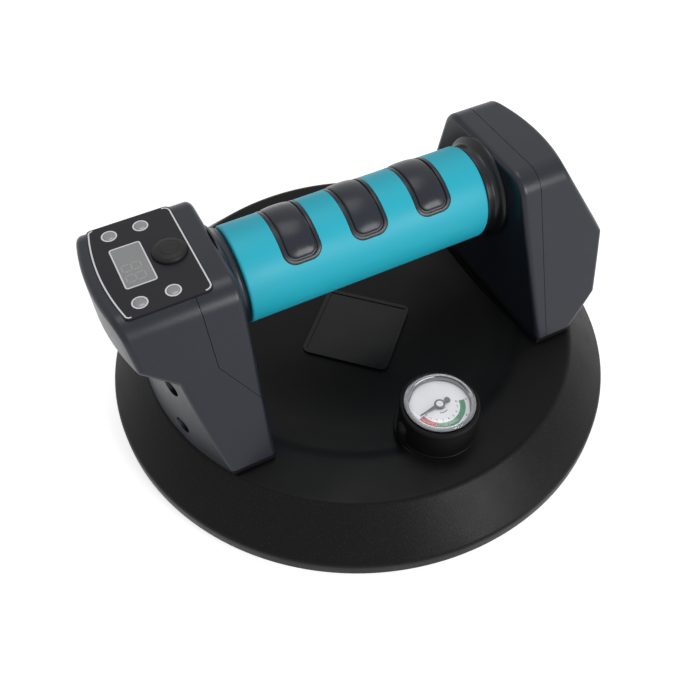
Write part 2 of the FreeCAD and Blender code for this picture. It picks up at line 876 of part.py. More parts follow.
def shell_screws(name, side, seat, frame_plate_near):
    """Four identical pan-head screws from the outer wall into the end frame."""
    screws = []
    turn = ALONG_X if side > 0 else FreeCAD.Rotation(FreeCAD.Vector(0, 1, 0), -90)
    shank = seat - frame_plate_near
    for index, (y, z) in enumerate(screw_places):
        head = cylinder(f"{name}_head{index}", dim("screw_head"), dim("screw_head_height"),
                        (side * seat, y, z), turn)
        stem = cylinder(f"{name}_shank{index}", dim("screw_shank"), shank,
                        (side * frame_plate_near, y, z), turn)
        screws.append(fuse(f"{name}_screw{index}", head, stem))
    return group(name, screws)


def group(name, shapes):
    thing = doc.addObject("Part::Compound", name)
    thing.Links = shapes
    return node(thing, name)


# ---------------------------------------------------------------- end frames

def end_frame(name, side, near):
    """Bent steel plate that joins the grip core to the base inside a housing."""
    plate = dim("frame_plate")
    start = near if side > 0 else -(near + plate)
    upright = prism(f"{name}_plate", YZ, [
        (-dim("frame_foot_half"), shelf),
        (dim("frame_foot_half"), shelf),
        (dim("frame_top_half"), dim("frame_top")),
        (-dim("frame_top_half"), dim("frame_top")),
    ], plate, origin=(start, 0, 0))
    inner_x = side * near
    outer_x = side * (near + plate + dim("frame_flange"))
    low_x, high_x = (inner_x, outer_x) if side > 0 else (outer_x, inner_x)
    half = dim("frame_foot_half")
    flanges = []
    for index, y_side in enumerate((-1, 1)):
        ends = (y_side * (half - 2 * (half - dim("base_screw_row"))), y_side * half)
        y_low, y_high = sorted(ends, key=lambda size: size.number)
        flanges.append(box(f"{name}_flange{index}", (low_x, y_low, shelf), (high_x, y_high, shelf + plate)))
    holes = [cylinder(f"{name}_core_hole", dim("core_radius") + dim("core_fit"), REACH,
                      (-REACH / 2 + side * near, 0, grip_height), ALONG_X)]
    for index, (y, z) in enumerate(screw_places):
        holes.append(cylinder(f"{name}_tapped{index}", dim("screw_shank") + dim("core_fit"), REACH,
                              (-REACH / 2 + side * near, y, z), ALONG_X))
    for index, (x, y) in enumerate(base_screw_places()):
        if x.number * side > 0:
            holes.append(cylinder(f"{name}_foot_hole{index}", dim("base_screw_shank") + dim("core_fit"),
                                  DEEP, (x, y, shelf - 1.0)))
    return node(cut(name, fuse(f"{name}_solid", upright, *flanges), *holes), name)


def base_screws():
    top = shelf - dim("base_skin")
    screws = []
    for index, (x, y) in enumerate(base_screw_places()):
        head = cylinder(f"base_screw_head{index}", dim("base_screw_head"), dim("base_screw_head_height"),
                        (x, y, top - dim("base_screw_head_height")))
        shank = cylinder(f"base_screw_shank{index}", dim("base_screw_shank"),
                         dim("base_skin") + dim("frame_plate"), (x, y, top))
        screws.append(fuse(f"base_screw{index}", head, shank))
    group("base_screws", screws)


# ---------------------------------------------------------------- control head

def control_panel():
    low = housing_top - dim("panel_thickness")
    blank = panel_blank("panel_blank", as_size(0), low, housing_top)
    tools = panel_openings("panel", low - 1.0, housing_top + 1.0, dim("fit_gap"))
    node(cut("control_panel", blank, *tools), "control_panel")


def display():
    low = housing_top - dim("panel_thickness")
    half = dim("lcd_half")
    node(box("lcd_window", (-dim("lcd_far"), -half, low), (-dim("lcd_near"), half, housing_top)), "lcd_window")
    node(box("lcd_module", (-dim("lcd_far"), -half, dim("board_top")), (-dim("lcd_near"), half, low)),
         "lcd_module")


def indicator_lamps():
    lamps = [
        cylinder(f"lamp{index}", dim("lamp_radius"), housing_top - dim("board_top"), (x, y, dim("board_top")))
        for index, (x, y) in enumerate(lamp_places())
    ]
    group("indicator_lamps", lamps)


def button_levels():
    ceiling = housing_top - wall
    flange_top = ceiling - dim("button_gap")
    return flange_top, flange_top - dim("button_flange_height")


def power_button():
    flange_top, flange_foot = button_levels()
    radius = dim("button_radius")
    crown = housing_top + dim("button_rise")
    plunger = dim("plunger_radius")
    plunger_foot = dim("board_top") + dim("switch_height") + dim("button_travel") + dim("fit_gap")
    body = new_body("power_button")
    revolve(body, [
        (0, plunger_foot),
        (plunger, plunger_foot),
        (plunger, flange_foot),
        (dim("button_flange"), flange_foot),
        (dim("button_flange"), flange_top),
        (radius, flange_top),
        (radius, housing_top + 0.5 * dim("button_rise")),
        (radius * 0.8, crown - 0.3 * dim("button_rise")),
        (radius * 0.45, crown - 0.05 * dim("button_rise")),
        (0, crown),
    ])
    place(body, x=-dim("button_place"))
    node(body, "power_button")


def button_dome():
    """Silicone dome that carries the button back up."""
    top = button_levels()[1]
    low = dim("board_top")
    return turned("button_dome", [
        (dim("switch_half") + 2.2, low),
        (dim("switch_half") + 3.4, low),
        (dim("switch_half") + 3.4, low + 0.8),
        (dim("switch_half") + 1.6, top),
        (dim("switch_half") + 0.6, top),
        (dim("switch_half") + 2.2, low + 0.8),
    ], x=-dim("button_place"))


def control_board():
    top = dim("board_top")
    low = top - dim("board_thickness")
    slab = box("board_slab", (-dim("board_far"), -dim("board_half"), low),
               (-dim("board_near"), dim("board_half"), top))
    holes = [
        cylinder(f"board_hole{index}", dim("board_screw_shank") + dim("fit_gap"), 10.0, (x, y, low - 5.0))
        for index, (x, y) in enumerate(board_post_places())
    ]
    node(cut("control_board", slab, *holes), "control_board")
    screws = []
    for index, (x, y) in enumerate(board_post_places()):
        head = cylinder(f"board_screw_head{index}", dim("board_screw_head"), dim("board_screw_head_height"),
                        (x, y, low - dim("board_screw_head_height")))
        shank = cylinder(f"board_screw_shank{index}", dim("board_screw_shank"),
                         dim("board_thickness") + 4.0, (x, y, low))
        screws.append(fuse(f"board_screw{index}", head, shank))
    group("board_screws", screws)
    half = dim("switch_half")
    place_ = -dim("button_place")
    node(box("button_switch", (place_ - half, -half, top), (place_ + half, half, top + dim("switch_height"))),
         "button_switch")


def battery():
    length = 2 * dim("cell_half_length")
    half = dim("cell_half_length")
    cells = []
    slots = []
    for index, height in enumerate(("cell_low", "cell_high")):
        origin = (-dim("cell_place"), -half, dim(height))
        cells.append(cylinder(f"cell{index}", dim("cell_radius"), length, origin, ALONG_Y))
        gap = dim("fit_gap")
        origin = (-dim("cell_place"), -half - gap, dim(height))
        slots.append(cylinder(f"cell_slot{index}", dim("cell_radius") + gap, length + 2 * gap, origin, ALONG_Y))
    group("battery_cells", cells)
    near = dim("frame_left") + dim("frame_plate") + dim("seam_gap")
    reach = dim("cell_radius") + dim("holder_wall")
    half = half + dim("holder_wall")
    block = box("holder_block", (-dim("cell_place"), -half, dim("cell_low") - reach),
                (-near, half, dim("cell_high") + reach - 2 * dim("holder_wall")))
    node(cut("battery_holder", block, *slots), "battery_holder")


def charging_socket():
    half = dim("socket_half_width")
    rise = dim("socket_half_height")
    slope = (dim("foot_half_width") - dim("top_half_width")) / (housing_top - housing_foot)
    face = dim("foot_half_width") - slope * (dim("socket_height") + rise - housing_foot) - 0.3
    shell = box("socket_shell", (-(dim("socket_place") + half), face - dim("socket_depth"), dim("socket_height") - rise),
                (-(dim("socket_place") - half), face, dim("socket_height") + rise))
    lip = 0.5
    mouth = box("socket_mouth",
                (-(dim("socket_place") + half - lip), face - dim("socket_depth") + 1.0,
                 dim("socket_height") - rise + lip),
                (-(dim("socket_place") - half + lip), face + 1.0, dim("socket_height") + rise - lip))
    node(cut("charging_socket", shell, mouth), "charging_socket")


# ---------------------------------------------------------------- grip

def grip_core():
    radius = dim("core_radius")
    bore = radius - dim("core_wall")
    left = -dim("core_left")
    right = dim("core_right")
    return turned("grip_core", [(bore, left), (radius, left), (radius, right), (bore, right)],
                  z=grip_height, rotation=ALONG_X)


def pad_block(name, inset, low_radius, high_radius):
    """Rounded patch that wraps over the top of the grip, centred on its own X."""
    half = dim("pad_width") / 2 - inset
    lean = 45.0
    reach = dim("sleeve_radius") * sine(dim("pad_angle") - lean) - inset
    cheeks = []
    for tag, angle in (("front", lean), ("back", 180.0 - lean)):
        rotation = FreeCAD.Rotation(FreeCAD.Vector(1, 0, 0), angle)
        cheek = prism(f"{name}_{tag}", rotation, [
            (-half, -reach), (half, -reach), (half, 2 * dim("sleeve_radius")), (-half, 2 * dim("sleeve_radius")),
        ], 4 * dim("sleeve_radius"), origin=(0, 0, grip_height), symmetric=True)
        normal = rotation.multVec(FreeCAD.Vector(0, 0, 1))
        tangent = rotation.multVec(FreeCAD.Vector(0, 1, 0))
        centre = FreeCAD.Vector(0, 0, grip_height.number)

        def is_end(edge, normal=normal, tangent=tangent, centre=centre):
            return runs_along(edge, normal) and (edge.CenterOfMass - centre).dot(tangent) < 0

        cheeks.append(part_fillet(f"{name}_{tag}_round", cheek, dim("pad_corner") - inset, is_end))
    width = 2 * half
    skin = cylinder(f"{name}_skin", high_radius, width, (-half, 0, grip_height), ALONG_X)
    core = cylinder(f"{name}_core", low_radius, width + 2.0, (-half - 1.0, 0, grip_height), ALONG_X)
    return common(name, cut(f"{name}_ring", skin, core), *cheeks)


def grip():
    sleeve = new_body("sleeve_blank")
    bore = dim("core_radius") + dim("core_fit")
    radius = dim("sleeve_radius")
    revolve(sleeve, [(bore, -dim("sleeve_left")), (radius, -dim("sleeve_left")),
                     (radius, dim("sleeve_right")), (bore, dim("sleeve_right"))])
    round_edges(sleeve, dim("sleeve_round"), lambda edge: abs(edge.BoundBox.XMax - radius.number) < 0.01
                and edge.BoundBox.ZLength < EPS)
    place(sleeve, z=grip_height, rotation=ALONG_X)

    gap = dim("pad_gap")
    pocket = pad_block("pad_pocket", -gap, dim("pad_pocket_radius"), radius + 5.0)
    frame = pad_block("pad_frame", as_size(0), dim("pad_pocket_radius"), dim("pad_frame_radius"))
    groove = pad_block("pad_groove", dim("pad_frame"), dim("pad_groove_radius"), radius + 5.0)
    face = pad_block("pad_face", dim("pad_frame") + dim("pad_groove"),
                     dim("pad_groove_radius") - 0.5, dim("pad_face_radius"))
    pad = fuse("pad_blank", cut("pad_tray", frame, groove), face)
    pockets = []
    for index, place_name in enumerate(("left", "middle", "right")):
        x = dim("pad_first") + index * dim("pad_pitch")
        tool = doc.addObject("Part::Compound", f"pocket_{place_name}")
        tool.Links = [pocket]
        pockets.append(place(tool, x=x))
        piece = doc.addObject("Part::Compound", f"grip_pad_{place_name}")
        piece.Links = [pad]
        node(place(piece, x=x), f"grip_pad_{place_name}")
    node(cut("grip_sleeve", sleeve, *pockets), "grip_sleeve")


def collar(name, side, sleeve_end):
    """Moulded ring between the sleeve and a housing, trimmed to the drafted wall."""
    gap = dim("collar_gap")
    bore = dim("core_radius") + dim("core_fit")
    start = sleeve_end + gap
    lip_start = dim("inner_face_top") - dim("collar_lip")
    body = new_body(f"{name}_blank")
    revolve(body, [
        (bore, side * start),
        (dim("collar_radius"), side * start),
        (dim("collar_radius"), side * (lip_start - 1.0)),
        (dim("collar_lip_radius"), side * lip_start),
        (dim("collar_lip_radius"), side * (dim("inner_face_foot") + 1.0)),
        (bore, side * (dim("inner_face_foot") + 1.0)),
    ])
    place(body, z=grip_height, rotation=ALONG_X)
    housing_side = prism(f"{name}_trim", XZ, [
        (side * (dim("inner_face_foot") - gap), housing_foot),
        (side * (dim("inner_face_top") - gap), housing_top),
        (side * REACH, housing_top),
        (side * REACH, housing_foot),
    ], 2 * REACH, symmetric=True)
    node(cut(name, body, housing_side), name)


# ---------------------------------------------------------------- vacuum gauge

def gauge():
    at = {"x": gauge_x, "y": gauge_y}
    floor = gauge_seat + dim("boot_floor")
    bore = dim("case_radius") + dim("fit_gap")
    stem_hole = dim("stem_radius") + dim("fit_gap")
    turned("gauge_boot", [
        (stem_hole, gauge_seat),
        (dim("boot_foot_radius"), gauge_seat),
        (dim("boot_foot_radius"), gauge_seat + 1.0),
        (dim("boot_top_radius"), gauge_seat + 1.8),
        (dim("boot_top_radius"), gauge_seat + dim("boot_height") - 1.0),
        (dim("boot_top_radius") - 0.6, gauge_seat + dim("boot_height")),
        (bore, gauge_seat + dim("boot_height")),
        (bore, floor),
        (stem_hole, floor),
    ], **at)

    case_top = floor + dim("case_height")
    case_wall = dim("case_wall")
    lens_top = case_top + dim("lens_rise")
    dial_top = lens_top - dim("dial_drop")
    dial_seat = dial_top - dim("dial_thickness")
    dial_edge = dim("dial_radius")
    turned("gauge_case", [
        (stem_hole, floor),
        (dim("case_radius"), floor),
        (dim("case_radius"), case_top),
        (dial_edge + dim("fit_gap"), case_top),
        (dial_edge + dim("fit_gap"), dial_seat),
        (dial_edge - case_wall, dial_seat),
        (dial_edge - case_wall, floor + case_wall),
        (stem_hole, floor + case_wall),
    ], **at)
    turned("gauge_dial", [
        (dim("arbor_radius") + 0.2, dial_seat),
        (dial_edge, dial_seat),
        (dial_edge, dial_top),
        (dim("arbor_radius") + 0.2, dial_top),
    ], **at)
    lens_under = lens_top - dim("lens_thickness")
    turned("gauge_lens", [
        (0, lens_under),
        (dim("lens_radius") - dim("lens_skirt"), lens_under),
        (dim("lens_radius") - dim("lens_skirt"), case_top),
        (dim("lens_radius"), case_top),
        (dim("lens_radius"), lens_top - 0.5),
        (dim("lens_radius") - 0.5, lens_top),
        (0, lens_top),
    ], **at)

    # Stem: a threaded tail through the base, a flange in the case and the arbor's bearing.
    nut_foot = dim("gauge_boss_foot") - dim("nut_height")
    flange_low = floor + case_wall
    tube_low = flange_low + dim("bourdon_lift")
    tube_inner = dim("bourdon_radius") - dim("bourdon_width") / 2
    bearing_top = tube_low + dim("bourdon_height") + 1.0
    bearing_bore = dim("arbor_radius") + dim("core_fit")
    turned("gauge_stem", [
        (dim("stem_bore"), nut_foot),
        (dim("stem_radius"), nut_foot),
        (dim("stem_radius"), flange_low),
        (tube_inner - dim("fit_gap"), flange_low),
        (tube_inner - dim("fit_gap"), tube_low + dim("bourdon_height") / 2),
        (dim("stem_radius"), tube_low + dim("bourdon_height") / 2),
        (dim("stem_radius"), bearing_top),
        (bearing_bore, bearing_top),
        (bearing_bore, bearing_top - 2.0),
        (0, bearing_top - 2.0),
        (0, flange_low + 0.5),
        (dim("stem_bore"), flange_low + 0.5),
    ], **at)
    nut = new_body("gauge_nut")
    corners = []
    for index in range(6):
        angle = as_size(60.0 * index)
        corners.append((dim("nut_radius") * cosine(angle), dim("nut_radius") * sine(angle)))
    pad_outline(nut, corners, dim("nut_height"))
    drill(nut, 0, 0, dim("stem_radius") + dim("core_fit"), DEEP, dim("nut_height"))
    place(nut, gauge_x, gauge_y, nut_foot)
    node(nut, "gauge_nut")

    tube = new_body("bourdon_tube")
    half = dim("bourdon_width") / 2
    sketch = body_sketch(tube, "XZ_Plane")
    draw_outline(sketch, [
        (dim("bourdon_radius") - half, tube_low),
        (dim("bourdon_radius") + half, tube_low),
        (dim("bourdon_radius") + half, tube_low + dim("bourdon_height")),
        (dim("bourdon_radius") - half, tube_low + dim("bourdon_height")),
    ])
    feature(tube, "Revolution", sketch, ReferenceAxis=(sketch, ["V_Axis"]), Angle=270.0)
    place(tube, gauge_x, gauge_y)
    node(tube, "bourdon_tube")

    needle = new_body("gauge_needle")
    lift = dial_top + dim("needle_lift")
    arbor_foot = bearing_top - 1.9
    pad_circle(needle, 0, 0, dim("arbor_radius"), lift - arbor_foot, offset=arbor_foot)
    pad_circle(needle, 0, 0, dim("needle_hub"), dim("needle_thickness"), offset=lift)
    half = dim("needle_half_width")
    tail = dim("needle_tail")
    pad_outline(needle, [
        (dim("needle_length"), 0), (2.0, half), (-tail + 1.4, half), (-tail + 1.2, 2.2 * half),
        (-tail, 2.2 * half), (-tail, -2.2 * half), (-tail + 1.2, -2.2 * half), (-tail + 1.4, -half),
        (2.0, -half),
    ], dim("needle_thickness"), offset=lift)
    rotation = FreeCAD.Rotation(FreeCAD.Vector(0, 0, 1), dim("needle_angle").number)
    place(needle, gauge_x, gauge_y, rotation=rotation)
    node(needle, "gauge_needle")


# ---------------------------------------------------------------- vacuum pump

def pump():
    x = dim("pump_x")
    axis = dim("pump_axis")
    front = dim("pump_front")
    motor_front = dim("motor_front")
    half = dim("pump_half")
    bulkhead = dim("pump_bulkhead")

    block = box("pump_block", (x - half, front, dim("pump_foot")), (x + half, motor_front, dim("pump_top")))
    chamber = cylinder("crank_chamber", dim("crank_chamber"), motor_front - bulkhead - front + 1.0,
                       (x, front - 1.0, axis), ALONG_Y)
    boss_hole = cylinder("motor_boss_hole", dim("motor_boss") + dim("fit_gap"), DEEP,
                         (x, front, axis), ALONG_Y)
    guide = cylinder("rod_guide", dim("rod_bore_guide"), axis - dim("pump_foot") + 1.0,
                     (x, rod_centre(), dim("pump_foot") - 1.0))
    node(cut("pump_body", block, chamber, boss_hole, guide), "pump_body")

    cover = box("pump_cover_plate", (x - half, front - dim("pump_cover"), dim("pump_foot")),
                (x + half, front, dim("pump_top")))
    node(cover, "pump_cover")

    turned("pump_motor", [
        (dim("shaft_radius") + dim("core_fit"), motor_front - dim("motor_boss_length")),
        (dim("motor_boss"), motor_front - dim("motor_boss_length")),
        (dim("motor_boss"), motor_front),
        (dim("motor_radius"), motor_front),
        (dim("motor_radius"), dim("motor_rear")),
        (dim("motor_boss"), dim("motor_rear")),
        (dim("motor_boss"), dim("motor_rear") + dim("motor_boss_length")),
        (dim("shaft_radius") + dim("core_fit"), dim("motor_rear") + dim("motor_boss_length")),
    ], x=x, z=axis, rotation=ALONG_Y)

    shaft = cylinder("crank_shaft", dim("shaft_radius"), dim("motor_rear") + 1.0 - rod_centre(),
                     (x, rod_centre(), axis), ALONG_Y)
    disc = cylinder("crank_disc", dim("crank_radius"), dim("crank_width"),
                    (x + dim("crank_throw"), rod_centre() - dim("crank_width") / 2, axis), ALONG_Y)
    node(fuse("pump_crank", shaft, disc), "pump_crank")

    ring_start = rod_centre() - dim("rod_width") / 2
    ring = cylinder("rod_ring", dim("rod_radius"), dim("rod_width"), (x, ring_start, axis), ALONG_Y)
    stem_foot = dim("pump_foot") + 0.2
    stem = cylinder("rod_stem", dim("rod_stem"), axis - stem_foot, (x, rod_centre(), stem_foot))
    eye = cylinder("rod_eye", dim("rod_bore"), dim("rod_width") + 2.0, (x, ring_start - 1.0, axis), ALONG_Y)
    node(cut("pump_rod", fuse("rod_solid", ring, stem), eye), "pump_rod")

    diaphragm_foot = dim("pump_foot") - dim("diaphragm_thickness")
    node(cylinder("diaphragm", dim("diaphragm_radius"), dim("diaphragm_thickness"),
                  (x, rod_centre(), diaphragm_foot)), "diaphragm")

    head_foot = dim("valve_head_foot")
    head = cylinder("head_disc", dim("valve_head_radius"), diaphragm_foot - head_foot, (x, rod_centre(), head_foot))
    barb_start = rod_centre() + dim("valve_head_radius") - 1.0
    barb = cylinder("head_barb", dim("barb_radius"), 1.0 + dim("barb_reach"),
                    (x, barb_start, dim("barb_height")), ALONG_Y)
    bore = cylinder("head_bore", dim("barb_radius") / 2, REACH / 2, (x, rod_centre(), dim("barb_height")), ALONG_Y)
    hollow = cylinder("head_hollow", dim("rod_bore_guide"), 2.0, (x, rod_centre(), diaphragm_foot - 2.0))
    node(cut("valve_head", fuse("head_solid", head, barb), bore, hollow), "valve_head")

    # Elbow on the port in the base, joined to the valve head by a short rubber hose.
    port = dim("port_y")
    elbow_radius = dim("barb_radius")
    foot = cylinder("elbow_foot", dim("elbow_foot_radius"), 2.0, (x, port, shelf))
    riser = cylinder("elbow_riser", dim("elbow_radius"), dim("barb_height") + dim("elbow_radius") - shelf,
                     (x, port, shelf))
    barb_tip = rod_centre() + dim("valve_head_radius") + dim("barb_reach")
    spout_start = barb_tip + 1.0
    spout = cylinder("elbow_spout", elbow_radius, port - spout_start, (x, spout_start, dim("barb_height")), ALONG_Y)
    riser_bore = cylinder("elbow_bore", dim("port_bore"), dim("barb_height") - shelf + 1.0, (x, port, shelf - 1.0))
    spout_bore = cylinder("elbow_spout_bore", elbow_radius / 2, port - spout_start + 1.0,
                          (x, spout_start - 1.0, dim("barb_height")), ALONG_Y)
    node(cut("port_elbow", fuse("elbow_solid", foot, riser, spout), riser_bore, spout_bore), "port_elbow")

    hose_bore = dim("barb_radius") + dim("core_fit")
    hose_start = rod_centre() + dim("valve_head_radius") + 0.3
    hose_end = port - dim("elbow_radius") - 0.3
    turned("vacuum_hose", [
        (hose_bore, hose_start), (hose_bore + dim("hose_wall"), hose_start),
        (hose_bore + dim("hose_wall"), hose_end), (hose_bore, hose_end),
    ], x=x, z=dim("barb_height"), rotation=ALONG_Y)

    bracket = box("pump_bracket", (dim("frame_right") + dim("frame_plate"), front, dim("bracket_low")),
                  (x - half, dim("bracket_rear"), dim("bracket_high")))
    node(bracket, "pump_bracket")


def rod_centre():
    """Middle of the crank disc and the connecting rod along the pump's axis."""
    return (dim("pump_front") + dim("motor_front") - dim("pump_bulkhead")) / 2


# ---------------------------------------------------------------- assembly

base_plate()
seal_ring()
badge_plate()
port_filter()
left_housing()
right_housing()
foot_gasket("left_foot_gasket", -1)
foot_gasket("right_foot_gasket", 1)
end_frame("left_frame", -1, dim("frame_left"))
end_frame("right_frame", 1, dim("frame_right"))
base_screws()
shell_screws("left_shell_screws", -1, dim("screw_seat_left"), dim("frame_left"))
shell_screws("right_shell_screws", 1, dim("screw_seat_right"), dim("frame_right"))
control_panel()
display()
indicator_lamps()
power_button()
button_dome()
control_board()
battery()
charging_socket()
grip_core()
grip()
collar("left_collar", -1, dim("sleeve_left"))
collar("right_collar", 1, dim("sleeve_right"))
gauge()
pump()
doc.recompute()

faults = [thing.Name for thing in doc.Objects if {"Invalid", "Error"} & set(thing.State)]
for thing in nodes:
    if thing.Shape.isNull() or not thing.Shape.isValid() or not thing.Shape.Solids:
        faults.append(thing.Label)
if faults:
    raise RuntimeError(f"objects that did not build: {faults}")

os.makedirs("parts", exist_ok=True)
for thing in nodes:
    thing.Shape.exportStep(f"parts/{thing.Label}.step")
    print(f"{thing.Label}: {len(thing.Shape.Solids)} solid(s), {thing.Shape.Volume / 1000:.2f} cm3")
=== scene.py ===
"""Looks of a powered floor-tile suction lifter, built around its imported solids.

Lengths in the classes are millimetres, in the frame that the solids use: the grip runs along X
with the control head at -X, -Y faces the user, Z is up.
"""

from __future__ import annotations

import logging
import math
from collections.abc import Callable, Sequence
from dataclasses import dataclass
from enum import Enum

import bmesh
import bpy
from mathutils import Matrix, Vector


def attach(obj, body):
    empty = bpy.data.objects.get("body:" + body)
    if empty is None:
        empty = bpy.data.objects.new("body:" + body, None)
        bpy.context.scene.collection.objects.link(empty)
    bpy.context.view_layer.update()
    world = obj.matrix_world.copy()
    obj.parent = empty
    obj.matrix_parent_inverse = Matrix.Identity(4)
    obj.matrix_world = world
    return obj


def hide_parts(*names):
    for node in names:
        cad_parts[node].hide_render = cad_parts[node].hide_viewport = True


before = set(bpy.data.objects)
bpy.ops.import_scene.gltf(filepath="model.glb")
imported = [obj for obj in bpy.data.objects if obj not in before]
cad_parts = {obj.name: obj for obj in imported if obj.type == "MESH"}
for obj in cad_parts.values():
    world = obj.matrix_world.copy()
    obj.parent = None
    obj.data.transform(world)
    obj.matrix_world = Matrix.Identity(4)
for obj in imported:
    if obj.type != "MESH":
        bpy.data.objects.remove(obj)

MM = 0.001
SMOOTH_ANGLE = math.radians(32)
WELD = 1e-5
log = logging.getLogger("suction_lifter")

Colour = tuple[float, float, float]
Flat = tuple[float, float]
Place = tuple[float, float, float]


def linear(red: int, green: int, blue: int) -> Colour:
    """Turn a display colour into the linear values that shaders take.

    Args:
        red: Red, 0 to 255.
        green: Green, 0 to 255.
        blue: Blue, 0 to 255.

    Returns:
        The three linear values.
    """

    def channel(value: int) -> float:
        """Turn one channel linear."""
        share = value / 255
        return share / 12.92 if share <= 0.04045 else ((share + 0.055) / 1.055) ** 2.4

    return channel(red), channel(green), channel(blue)


# ---------------------------------------------------------------- finishes

COAT_ROUGHNESS = 0.12
CLOUD_SCALE = 55.0
CLOUD_DETAIL = 5.0
CLOUD_RANGE = (0.3, 0.7)
GRAIN_DETAIL = 2.0
# Range of the fine noise whose tips get painted glints
GLINT_TIP_RANGE = (0.56, 0.74)
BRUSH_STRETCH = (0.04, 1.0, 1.0)
RELIEF_STRENGTH = 0.7
ROUGHNESS_SPREAD = 0.06
ROUGHNESS_SHARE = 0.3


def remapped(
    tree: bpy.types.NodeTree,
    value: bpy.types.NodeSocket,
    source: Flat = (0.0, 1.0),
    target: Flat = (0.0, 1.0),
) -> bpy.types.NodeSocket:
    """Carry a value from one range to another.

    Args:
        tree: Node tree that it is in.
        value: The value.
        source: Range that it comes from.
        target: Range that it goes to.

    Returns:
        The new value.
    """
    node = tree.nodes.new("ShaderNodeMapRange")
    for name, number in zip(("From Min", "From Max", "To Min", "To Max"), (*source, *target)):
        node.inputs[name].default_value = number
    tree.links.new(value, node.inputs["Value"])
    return node.outputs["Result"]


class Grain(Enum):
    """Kind of surface relief that a finish carries."""

    SMOOTH = "smooth"
    SPARK = "spark"
    BRUSHED = "brushed"


